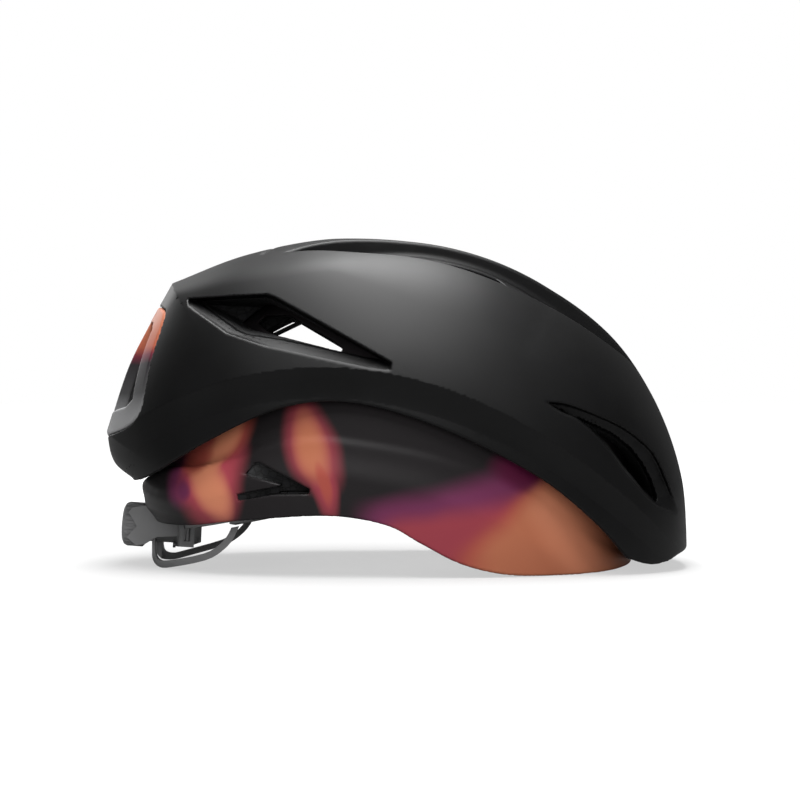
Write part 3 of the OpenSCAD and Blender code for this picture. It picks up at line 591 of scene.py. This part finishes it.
def inner_cuts(x, y, z):
    side = np.abs(y)
    cut = both(v_vent(x, side, z), V_VENT_FLOOR - side, r=1)
    cut = either(cut, both(inner_side_port(x, side, z), SIDE_PORT_IN - side, r=1))
    cut = either(cut, both(inner_front_port(x, side, z), FRONT_PORT_IN - side, r=1))
    cut = either(cut, both(inner_tail_port(x, side, z), x - INNER_PORT_TO))
    cut = either(cut, both(nape_notch(x, y, z), x - NAPE_NOTCH_TO), r=1)
    for slot in channel_slots:
        cut = either(cut, both(slot(x, side, z), SLOT_FROM - z))
    cut = either(cut, cradle_room(x, y, z), r=1)
    return either(cut, strap_channel(x, y, z), r=1)


@remembered
def inner_liner(x, y, z):
    """The inner liner as one solid, skin and foam together."""
    form = both(inner_body(x, y, z), inner_edge(x, y, z), r=1.2)
    form = without(form, head_cavity(x, y, z), r=1.6)
    return without(form, inner_cuts(x, y, z), r=1)


INNER_SKIN = 1.9
# Place of each webbing anchor on the left side, and its lean in degrees as seen from above
ANCHORS = ((58, 67, 12, -36), (-45, 82, 34, 8))
# Centre and half size of an anchor's block, of the slot behind it and of the way down
SEAT_BOXES = (((0, 0, 0), (11, 2.5, 5)), ((0, -8, -1.5), (8, 8, 2.1)), ((0, 4.4, -9), (8, 2, 9)))


def inner_shell_form(x, y, z):
    return both(inner_liner(x, y, z), -INNER_SKIN - inner_body(x, y, z), r=0.5)


def inner_foam_form(x, y, z):
    form = both(inner_liner(x, y, z), inner_body(x, y, z) + INNER_SKIN, r=0.5)
    return without(form, anchor_seats(x, y, z), r=0.5)


def anchor_seats(x, y, z):
    """Seats of the webbing's anchors, with the way down for the webbing."""
    out = np.full(np.broadcast(x, y, z).shape, float(FAR))
    side = np.abs(y)
    for px, py, pz, lean in ANCHORS:
        c = math.cos(math.radians(lean))
        s = math.sin(math.radians(lean))
        u = (x - px) * c + (side - py) * s
        v = (side - py) * c - (x - px) * s
        w = z - pz
        for (cu, cv, cw), (hu, hv, hw) in SEAT_BOXES:
            across = np.maximum(np.abs(u - cu) - hu, np.abs(v - cv) - hv)
            out = np.minimum(out, np.maximum(across, np.abs(w - cw) - hw))
    return out


# Meshes from solids

CORNERS = [(i, j, k) for i in (0, 1) for j in (0, 1) for k in (0, 1)]
# How far apart a form is read for its slope, on a mesh's way to the surface and for its normals
SLOPE_REACH = 0.1
NORMAL_REACH = 0.15
# The least squared slope that a point is moved by, and the share of a step that it may move
LEAST_SLOPE = 0.04
SETTLE_SHARE = 0.2
grids = {}


def grid(low, high, step):
    """Axes of a grid over one half of a symmetrical solid, the same ones for the same box."""
    if (low, high, step) not in grids:
        axes = [np.arange(a, b + step, step, dtype=np.float32)
                for a, b in zip((low[0], low[1] + step / 2, low[2]), high)]
        grids[low, high, step] = axes, (axes[0][:, None, None], axes[1][None, :, None],
                                        axes[2][None, None, :])
    return grids[low, high, step]


def net(form, low, high, step, side=0):
    """Quads over a solid that is the same on both sides of y = 0, or over one side of it, -1 or 1."""
    axes, (x, y, z) = grid(low, high, step)
    axes = list(axes)
    half = np.broadcast_to(form(x, y, z), [len(a) for a in axes]).astype(np.float32)
    other = half[:, ::-1]
    value = np.concatenate([other, half], 1) if side == 0 else half if side > 0 else other
    solid = value < 0
    back = -axes[1][::-1]
    axes[1] = np.concatenate([back, axes[1]]) if side == 0 else axes[1] if side > 0 else back
    n = [size - 1 for size in solid.shape]
    filled = sum(solid[i:n[0] + i, j:n[1] + j, k:n[2] + k].astype(np.int8) for i, j, k in CORNERS)
    active = (filled > 0) & (filled < 8)
    index = np.full(active.shape, -1, np.int32)
    index[active] = np.arange(active.sum())
    cells = np.argwhere(active)
    at = [value[cells[:, 0] + i, cells[:, 1] + j, cells[:, 2] + k] for i, j, k in CORNERS]
    total = np.zeros((len(cells), 3))
    count = np.zeros(len(cells))
    for a, ca in enumerate(CORNERS):
        for b, cb in enumerate(CORNERS):
            if b <= a or sum(p != q for p, q in zip(ca, cb)) != 1:
                continue
            crossed = (at[a] < 0) != (at[b] < 0)
            t = np.where(crossed, at[a] / np.where(crossed, at[a] - at[b], 1), 0)
            total += crossed[:, None] * (np.array(ca) + t[:, None] * (np.array(cb) - ca))
            count += crossed
    inner = total / count[:, None]
    points = np.stack([axes[i][cells[:, i]] + step * inner[:, i] for i in range(3)], 1)
    quads = []
    for axis in range(3):
        s = np.moveaxis(solid, axis, 0)
        c = np.moveaxis(index, axis, 0)
        i, j, k = np.nonzero(s[:-1, 1:-1, 1:-1] != s[1:, 1:-1, 1:-1])
        first = s[i, j + 1, k + 1]
        quad = np.stack([c[i, j, k], c[i, j + 1, k], c[i, j + 1, k + 1], c[i, j, k + 1]], 1)
        flip = first == (axis == 1)
        quad[flip] = quad[flip][:, ::-1]
        quads.append(quad)
    return points, np.vstack(quads)


def slope_of(form, p, reach):
    """Value and gradient of a form at points."""
    p = p.astype(np.float32)
    value = form(p[:, 0], p[:, 1], p[:, 2])
    grad = np.empty_like(p)
    for axis in range(3):
        q = p.copy()
        q[:, axis] += reach
        grad[:, axis] = (form(q[:, 0], q[:, 1], q[:, 2]) - value) / reach
    return value, grad


def settle(form, points, limit):
    """Moves points onto the form's surface, by at most limit along each axis."""
    value, grad = slope_of(form, points, SLOPE_REACH)
    move = (value / np.maximum((grad ** 2).sum(1), LEAST_SLOPE))[:, None] * grad
    return points - clamp(move, -limit, limit)


def mesh_object(name, points, faces):
    mesh = bpy.data.meshes.new(name)
    sides = faces.shape[1]
    mesh.vertices.add(len(points))
    mesh.vertices.foreach_set("co", (points * MM).astype(np.float32).ravel())
    mesh.loops.add(faces.size)
    mesh.loops.foreach_set("vertex_index", faces.astype(np.int32).ravel())
    mesh.polygons.add(len(faces))
    mesh.polygons.foreach_set("loop_start", np.arange(len(faces), dtype=np.int32) * sides)
    mesh.update(calc_edges=True)
    mesh.validate()
    obj = bpy.data.objects.new(name, mesh)
    bpy.context.scene.collection.objects.link(obj)
    return obj


def applied(obj):
    """Applies an object's modifiers to its mesh."""
    depsgraph = bpy.context.evaluated_depsgraph_get()
    mesh = bpy.data.meshes.new_from_object(obj.evaluated_get(depsgraph))
    obj.modifiers.clear()
    old = obj.data
    obj.data = mesh
    bpy.data.meshes.remove(old)


def solid_piece(name, form, low, high, step, keep, side=0):
    """A closed mesh of a form, thinned where it is flat, with the form's own normals."""
    points, faces = net(form, low, high, step, side)
    obj = mesh_object(name, settle(form, points, step * SETTLE_SHARE), faces)
    thin = obj.modifiers.new("thin", "DECIMATE")
    thin.ratio = keep
    applied(obj)
    mesh = obj.data
    p = np.empty(len(mesh.vertices) * 3, np.float32)
    mesh.vertices.foreach_get("co", p)
    _, grad = slope_of(form, p.reshape(-1, 3) / MM, NORMAL_REACH)
    grad /= np.maximum(np.linalg.norm(grad, axis=1), 1e-9)[:, None]
    mesh.polygons.foreach_set("use_smooth", np.ones(len(mesh.polygons), bool))
    mesh.normals_split_custom_set_from_vertices(grad)
    return obj


# Node-based materials

class Value:
    """A socket of a material's nodes that takes part in expressions."""

    def __init__(self, paint, socket):
        self.paint = paint
        self.socket = socket

    def math(self, operation, *others, swap=False):
        values = [self, *others]
        if swap:
            values.reverse()
        return self.paint.node("ShaderNodeMath", {"operation": operation}, dict(enumerate(values)))

    def __add__(self, other):
        return self.math("ADD", other)

    def __radd__(self, other):
        return self.math("ADD", other)

    def __sub__(self, other):
        return self.math("SUBTRACT", other)

    def __rsub__(self, other):
        return self.math("SUBTRACT", other, swap=True)

    def __mul__(self, other):
        return self.math("MULTIPLY", other)

    def __rmul__(self, other):
        return self.math("MULTIPLY", other)

    def __truediv__(self, other):
        return self.math("DIVIDE", other)

    def sine(self):
        return self.math("SINE")

    def fit(self, low, high, out_low=0.0, out_high=1.0):
        """Maps low..high to out_low..out_high with a soft start and end."""
        return self.paint.node("ShaderNodeMapRange", {"interpolation_type": "SMOOTHSTEP"}, {
            "Value": self, "From Min": low, "From Max": high, "To Min": out_low, "To Max": out_high})


class Paint:
    """A material that is put together from expressions."""

    def __init__(self, name, **fixed):
        self.material = bpy.data.materials.new(name)
        self.material.use_nodes = True
        self.tree = self.material.node_tree
        self.shader = self.tree.nodes["Principled BSDF"]
        for socket, value in fixed.items():
            self.set(socket.replace("_", " "), value)

    def plug(self, socket, value):
        if isinstance(value, Value):
            self.tree.links.new(value.socket, socket)
        elif isinstance(value, tuple) and len(value) == 3 and socket.type == "RGBA":
            socket.default_value = (*value, 1)
        else:
            socket.default_value = value

    def node(self, kind, settings=None, inputs=None, output=0):
        made = self.tree.nodes.new(kind)
        for key, value in (settings or {}).items():
            if key == "stops":
                ramp = made.color_ramp
                while len(ramp.elements) < len(value):
                    ramp.elements.new(0.5)
                for element, (place, colour) in zip(ramp.elements, value):
                    element.position = place
                    element.color = (*colour, 1)
            else:
                setattr(made, key, value)
        for key, value in (inputs or {}).items():
            self.plug(made.inputs[key], value)
        return Value(self, made.outputs[output])

    def set(self, socket, value):
        self.plug(self.shader.inputs[socket], value)

    def place(self):
        """Object coordinates in metres, which are the frame's own."""
        return self.node("ShaderNodeTexCoord", output="Object")

    def part(self, vector, axis):
        return self.node("ShaderNodeSeparateXYZ", None, {0: vector}, output="XYZ".index(axis))

    def scaled(self, vector, x, y, z):
        return self.node("ShaderNodeVectorMath", {"operation": "MULTIPLY"}, {0: vector, 1: (x, y, z)})

    def moved(self, vector, other):
        return self.node("ShaderNodeVectorMath", {"operation": "ADD"}, {0: vector, 1: other})

    def noise(self, vector, scale, detail, rough=0.5, colour=False):
        return self.node("ShaderNodeTexNoise", None, {"Vector": vector, "Scale": scale, "Detail": detail,
                                                     "Roughness": rough}, output=1 if colour else 0)

    def cells(self, vector, scale, feature="F1", output=0):
        return self.node("ShaderNodeTexVoronoi", {"feature": feature}, {"Vector": vector, "Scale": scale},
                         output)

    def mix(self, factor, a, b):
        return self.node("ShaderNodeMix", {"data_type": "RGBA"}, {0: factor, 6: a, 7: b}, output=2)

    def bump(self, height, strength, distance):
        self.set("Normal", self.node("ShaderNodeBump", None, {"Strength": strength, "Distance": distance,
                                                              "Height": height}))


# Fine grain of the skins: scale, detail and roughness of its noise, and its height in metres
GRAIN = (2600, 2, 0.6)
GRAIN_HIGH = 0.00004


def shell_paint():
    """Satin-matte black skin with a fine grain and faint handling marks."""
    p = Paint("satin_black_skin", Specular_IOR_Level=0.23)
    at = p.place()
    grain = p.noise(at, *GRAIN)
    cloud = p.noise(at, scale=22, detail=4, rough=0.55)
    black = (0.002, 0.002, 0.0021)
    worn = (0.0032, 0.0032, 0.0034)
    p.set("Base Color", p.mix(cloud.fit(0.35, 0.7), black, worn))
    p.set("Roughness", 0.40 + 0.06 * cloud + 0.05 * grain)
    p.bump(grain, strength=0.12, distance=GRAIN_HIGH)
    return p.material


def foam_paint():
    """Black expanded foam with its beads."""
    p = Paint("black_bead_foam")
    at = p.place()
    beads_per_metre = 320
    edge = p.cells(at, beads_per_metre, "DISTANCE_TO_EDGE")
    tone = p.cells(at, beads_per_metre, output=1)
    shade = p.part(tone, "X")
    bead = edge.fit(0.0, 0.12)
    colour = p.mix(shade, (0.013, 0.013, 0.0135), (0.022, 0.022, 0.023))
    between = (0.008, 0.008, 0.008)
    p.set("Base Color", p.mix(bead, between, colour))
    p.set("Roughness", 0.72 + 0.15 * shade)
    p.bump(bead, strength=0.35, distance=0.0002)
    return p.material


def fade_paint():
    """Charcoal skin with a soft warm fade: orange, wine red and purple, with lighter orange and wine as
    painted light where the outer liner's edge shades it.
    """
    p = Paint("warm_fade_skin", Specular_IOR_Level=0.2)
    at = p.place()
    drift = p.noise(at, scale=16, detail=2, rough=0.5, colour=True)
    sway = 0.016
    bent = p.moved(at, p.scaled(p.moved(drift, (-0.5, -0.5, -0.5)), sway, sway, sway))
    x = p.part(bent, "X")
    z = p.part(bent, "Z")

    def blob(cx, cz, wide, tall, lean=0.0):
        """A soft spot: its centre and half sizes in millimetres, leaning by so much per millimetre up."""
        u = (x - cx * MM + (z - cz * MM) * lean) / (wide * MM)
        v = (z - cz * MM) / (tall * MM)
        return (u * u + v * v).fit(1.9, 0.05)

    charcoal = (0.012, 0.0105, 0.0112)
    purple = (0.12, 0.022, 0.064)
    magenta = (0.08, 0.005, 0.03)
    wine = (0.25, 0.038, 0.052)
    red = (0.31, 0.062, 0.045)
    orange = (0.37, 0.122, 0.064)
    # Lighter copies of orange and wine: painted light, used in spots that the outer liner's edge shades
    orange_with_painted_light = (0.52, 0.19, 0.105)
    wine_with_painted_light = (0.36, 0.055, 0.075)
    # The two streaks behind, each with its core laid over its rim; the first streak's lighter orange and wine
    # cores are painted light in the shade of the outer liner's edge
    colour = charcoal
    for spot, paint in ((blob(-100, 44, 8, 12), purple), (blob(-85, 46, 14, 25, -0.1), wine_with_painted_light),
                        (blob(-79, 63, 10, 13, -0.3), red), (blob(-79, 61, 6, 11, -0.3), orange_with_painted_light),
                        (blob(-88, 50, 7, 8), orange_with_painted_light), (blob(-85, 37, 8, 12, 0.2), orange_with_painted_light),
                        (blob(-93, 54, 7, 7), red), (blob(-99, 40, 3.5, 5), purple),
                        (blob(-39, 59, 11, 20, 0.2), wine), (blob(-34, 41, 5, 14, 0.15), wine),
                        (blob(-39, 59, 7, 15, 0.15), orange), (blob(-34, 42, 2.5, 9, 0.15), red)):
        colour = p.mix(spot, colour, paint)
    # In front, in metres: purple, wine and red one below the other, and orange towards the brow
    colour = p.mix((0.042 - z + 0.2 * x).fit(0.0, 0.013) * x.fit(-0.026, -0.006), colour, purple)
    colour = p.mix((0.0275 + 0.15 * x - z).fit(-0.004, 0.008) * x.fit(-0.014, 0.002), colour, wine)
    front = 0.6 * x - 0.8 * z
    colour = p.mix(front.fit(0.002, 0.012) * x.fit(0.016, 0.036), colour, red)
    colour = p.mix(blob(59, 46, 13, 8, 0.5), colour, magenta)
    colour = p.mix(front.fit(0.005, 0.016) * x.fit(0.026, 0.046), colour, orange)
    # Lighter orange towards the outer liner's front edge: painted light over the shade that its overhang
    # casts
    colour = p.mix((0.8 * x + 0.6 * z).fit(0.06, 0.075) * front.fit(0.006, 0.02), colour, orange_with_painted_light)
    # The slip surface under the outer liner is plain
    covered = (p.part(at, "X") * 0.8 + p.part(at, "Z")).fit(0.108, 0.114)
    colour = p.mix(covered, colour, charcoal)
    grain = p.noise(at, *GRAIN)
    p.set("Base Color", colour)
    p.set("Roughness", 0.40 + 0.06 * grain)
    p.bump(grain, strength=0.1, distance=GRAIN_HIGH)
    return p.material


def frame_paint():
    """Tail frame: orange at the top, through wine red to dark grey, and paler grey again along its lowest
    edge.
    """
    p = Paint("fade_trim", Specular_IOR_Level=0.25)
    at = p.place()
    z = p.part(at, "Z") + 0.006 * (p.noise(at, scale=30, detail=2) - 0.5)
    grain = p.noise(at, *GRAIN)
    ramp = p.node("ShaderNodeValToRGB", {"stops": [(0.0, (0.3, 0.3, 0.304)), (0.12, (0.2, 0.2, 0.204)),
                                                   (0.3, (0.05, 0.05, 0.051)), (0.6, (0.022, 0.02, 0.022)),
                                                   (0.69, (0.13, 0.02, 0.036)), (0.78, (0.36, 0.09, 0.05)),
                                                   (1.0, (0.42, 0.15, 0.085))]}, {0: z.fit(0.06, 0.128)})
    p.set("Base Color", ramp)
    p.set("Roughness", 0.42 + 0.06 * grain)
    p.bump(grain, strength=0.1, distance=GRAIN_HIGH)
    return p.material


def plastic_paint(name, colour, rough=0.45, mottle=0.25, speckle=1400):
    """Moulded plastic with a fine spark-eroded texture."""
    p = Paint(name)
    at = p.place()
    spark = p.noise(at, scale=speckle, detail=3, rough=0.65)
    cloud = p.noise(at, scale=60, detail=3)
    dark = tuple(c * (1 - mottle) for c in colour)
    p.set("Base Color", p.mix(cloud, dark, colour))
    p.set("Roughness", rough - 0.05 + 0.14 * spark)
    p.bump(spark, strength=0.25, distance=0.00008)
    return p.material


def metal_paint(name, colour=(0.5, 0.5, 0.52)):
    p = Paint(name, Metallic=1.0)
    at = p.place()
    brush = p.noise(p.scaled(at, 1, 1, 6), scale=900, detail=3)
    p.set("Base Color", p.mix(brush, tuple(c * 0.7 for c in colour), colour))
    p.set("Roughness", 0.28 + 0.2 * brush)
    p.bump(brush, strength=0.15, distance=0.00005)
    return p.material


def knit_paint():
    """Dark knitted cover of the comfort pads."""
    p = Paint("pad_knit")
    at = p.place()
    stitch = 5200
    rows = (p.part(at, "X") * stitch).sine() * (p.part(at, "Y") * stitch).sine()
    rows = rows * 0.5 + (p.part(at, "Z") * stitch).sine() * 0.35
    fuzz = p.noise(at, scale=900, detail=3, rough=0.6)
    knit = (rows + 0.6).fit(-0.2, 1.2)
    p.set("Base Color", p.mix(knit, (0.006, 0.006, 0.007), (0.03, 0.03, 0.034)))
    p.set("Roughness", 0.8 + 0.15 * fuzz)
    p.bump(knit + 0.3 * fuzz, strength=0.5, distance=0.0003)
    return p.material


SKIN_BLACK = shell_paint()
FOAM = foam_paint()
FADE = fade_paint()
TRIM = frame_paint()
GREY = plastic_paint("housing_grey", (0.27, 0.27, 0.273))
DARK = plastic_paint("moulded_black", (0.022, 0.022, 0.023))
RUBBER = plastic_paint("dial_rubber", (0.25, 0.25, 0.253), rough=0.62, mottle=0.3, speckle=2200)
NYLON = plastic_paint("belt_nylon", (0.36, 0.36, 0.365), rough=0.38)
ACETAL = plastic_paint("pale_acetal", (0.5, 0.5, 0.49), rough=0.35, mottle=0.12)
METAL = metal_paint("screw_metal")
KNIT = knit_paint()


def dress(obj, material):
    obj.data.materials.clear()
    obj.data.materials.append(material)


def stand_in(obj, body, material, slot, *replaced):
    dress(obj, material)
    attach(obj, body)
    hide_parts(*replaced)
    return obj


# Boxes that the meshes are made in, over the left half
OUTER_BOX = ((-147, 0, -1), (147, 112, 165))
TRIM_BOX = ((-147, 0, 60), (-88, 60, 130))
INNER_BOX = ((-131, 0, -1), (122, 102, 152))
stand_in(solid_piece("outer_skin", outer_shell_form, *OUTER_BOX, GRID, SKIN_KEEP),
         "outer", SKIN_BLACK, "shell", "outer_shell")
stand_in(solid_piece("outer_liner_foam", outer_foam_form, *OUTER_BOX, COARSE, FOAM_KEEP),
         "outer", FOAM, "foam", "outer_foam")
stand_in(solid_piece("tail_trim", exhaust_frame_form, *TRIM_BOX, FINE, FINE_KEEP),
         "outer", TRIM, "trim", "exhaust_frame")
stand_in(solid_piece("inner_skin", inner_shell_form, *INNER_BOX, GRID, SKIN_KEEP),
         "liner", FADE, "liner_skin", "inner_shell")
stand_in(solid_piece("inner_liner_foam", inner_foam_form, *INNER_BOX, COARSE, FOAM_KEEP),
         "liner", FOAM, "foam", "inner_foam")


# Comfort pads: crowned cushions on their hook dots, pressed thin along their edges

PAD_T = 5
DOT_T = 1
# How far in from its edge a pad swells, and the squared share of its thickness that is left there
PAD_REACH = 7
PAD_EDGE = 0.04
# Depth of a sewn channel as a share of the thickness, and its width
SEWN_DEEP = 0.45
SEWN_WIDE = 1.4
CROWN_PAD_FROM = 80


def pad_form(outline, channels):
    """A cushion that swells away from the cavity's wall inside its outline, with sewn channels across it."""

    def form(x, y, z):
        depth = -cavity_cap(x, y, z)
        edge = -outline(x, y, z)
        swell = PAD_T * np.sqrt(np.maximum(1 - (1 - clamp(edge / PAD_REACH)) ** 2, PAD_EDGE))
        for u, v, at in channels:
            swell = swell * (1 - SEWN_DEEP * np.exp(-((u * x + v * z - at) / SEWN_WIDE) ** 2))
        return both(both(DOT_T - depth, depth - DOT_T - swell, r=0.8), -edge, r=1)

    return form


brow_outline = Outline([(70, 17), (88, 12.5), (120, 12.5), (120, 33), (85, 35.5), (68, 39)])
crown_outline = Outline([(-20, -12), (62, -12), (70, 0), (62, 12), (-20, 12)], "plan")
side_outline = Outline([(-2, 78), (40, 82), (52, 96), (36, 106), (2, 104), (-8, 92)])


def over_crown(x, y, z):
    return both(crown_outline(x, y, z), CROWN_PAD_FROM - z)


def pad(name, form, low, high, side=0):
    obj = solid_piece(name + "_cushion", form, low, high, FINE, FINE_KEEP, side)
    stand_in(obj, "liner", KNIT, "pad", name)


pad("brow_pad", pad_form(brow_outline, [(1, 0, 78), (1, 0, 87)]), (62, 0, 8), (102, 64, 44))
pad("crown_pad", pad_form(over_crown, [(1, 0, 6), (1, 0, 34)]), (-24, 0, 100), (74, 16, 134))
beside = pad_form(side_outline, [(1, 0, 16), (1, 0.4, 68)])
for name, side in (("side_pad_left", 1), ("side_pad_right", -1)):
    pad(name, beside, (-12, 28, 72), (56, 76, 110), side)


# CAD nodes that keep their shape

WELD_M = 0.00001
BEVEL_STEPS = 2
BEVEL_ANGLE = math.radians(35)


def keep_node(name, material, bevel):
    """Dresses a CAD node, with its edges broken by so many millimetres."""
    obj = nodes[name]
    dress(obj, material)
    weld = obj.modifiers.new("weld", "WELD")
    weld.merge_threshold = WELD_M
    if bevel:
        edge = obj.modifiers.new("edge", "BEVEL")
        edge.width = bevel * MM
        edge.segments = BEVEL_STEPS
        edge.limit_method = "ANGLE"
        edge.angle_limit = BEVEL_ANGLE


for material, bevel, names in (
        (GREY, 0.2, ("side_arm_left", "side_arm_right", "housing_base", "housing_cover", "hanger_carriage")),
        (GREY, 0.8, ("wing_left", "wing_right")),
        (DARK, 0.2, ("temple_anchor_left", "temple_anchor_right", "strap_anchors", "hanger_anchor",
                     "slip_posts", "hanger_strap", "pad_dots")),
        (NYLON, 0, ("belt_left", "belt_right")),
        (RUBBER, 0.2, ("dial_wheel",)),
        (METAL, 0.1, ("dial_screw", "cover_screws")),
        (ACETAL, 0.1, ("pinion", "detent_ring"))):
    for name in names:
        keep_node(name, material, bevel)


# Studio: pale floor, a soft light above, a weak one behind and a fill in front

# The floor's glow to the camera grows from its share at the object to full, over these distances in metres
GLOW_SHARE = 0.55
GLOW_FROM = 0.1
GLOW_TO = 0.9
# Strength of the world for all that the camera doesn't see itself
AMBIENT = 0.14


def floor_paint():
    """Pale floor that the camera sees as white, with the object's shadow near it."""
    p = Paint("pale_floor", Base_Color=(0.24, 0.24, 0.24), Roughness=0.95, Specular_IOR_Level=0.0,
              Emission_Strength=1.0)
    far = p.node("ShaderNodeVectorMath", {"operation": "LENGTH"}, {0: p.place()}, output=1)
    seen = p.node("ShaderNodeLightPath")
    glow = seen * far.fit(GLOW_FROM, GLOW_TO, GLOW_SHARE, 1.0)
    p.set("Emission Color", p.node("ShaderNodeCombineColor", None, {0: glow, 1: glow, 2: glow}))
    return p.material


bpy.ops.mesh.primitive_plane_add(size=80)
floor = bpy.context.object
floor.name = "floor"
dress(floor, floor_paint())


def area_light(name, place, target, size, watts):
    data = bpy.data.lights.new(name, "AREA")
    data.shape = "RECTANGLE"
    data.size, data.size_y = size
    data.energy = watts
    obj = bpy.data.objects.new(name, data)
    obj.location = place
    obj.rotation_euler = (Vector(target) - Vector(place)).to_track_quat("-Z", "Y").to_euler()
    bpy.context.scene.collection.objects.link(obj)
    return obj


area_light("top_light", place=(0.02, -0.1, 1.3), target=(0.02, -0.05, 0.1), size=(0.58, 2.3), watts=47)
area_light("rear_light", place=(-0.8, 1.0, 0.6), target=(-0.1, 0, 0.1), size=(0.8, 0.7), watts=4)
# The fill reaches under the outer liner's edge, and leaves no sheen of its own on the black skin
fill = area_light("front_fill", place=(0.1, -1.3, 0.3), target=(0, 0, 0.05), size=(1.6, 0.8), watts=10)
fill.visible_glossy = False

world = bpy.data.worlds.new("studio")
bpy.context.scene.world = world
world.use_nodes = True
tree = world.node_tree
back = tree.nodes["Background"]
rays = tree.nodes.new("ShaderNodeLightPath")
seen = tree.nodes.new("ShaderNodeMath")
seen.operation = "MAXIMUM"
tree.links.new(rays.outputs["Is Camera Ray"], seen.inputs[0])
tree.links.new(rays.outputs["Is Transmission Ray"], seen.inputs[1])
tone = tree.nodes.new("ShaderNodeMapRange")
tree.links.new(seen.outputs[0], tone.inputs["Value"])
tone.inputs["To Min"].default_value = AMBIENT
tone.inputs["To Max"].default_value = 1.0
back.inputs["Color"].default_value = (1, 1, 1, 1)
tree.links.new(tone.outputs[0], back.inputs["Strength"])

bpy.context.scene.view_settings.view_transform = "Standard"
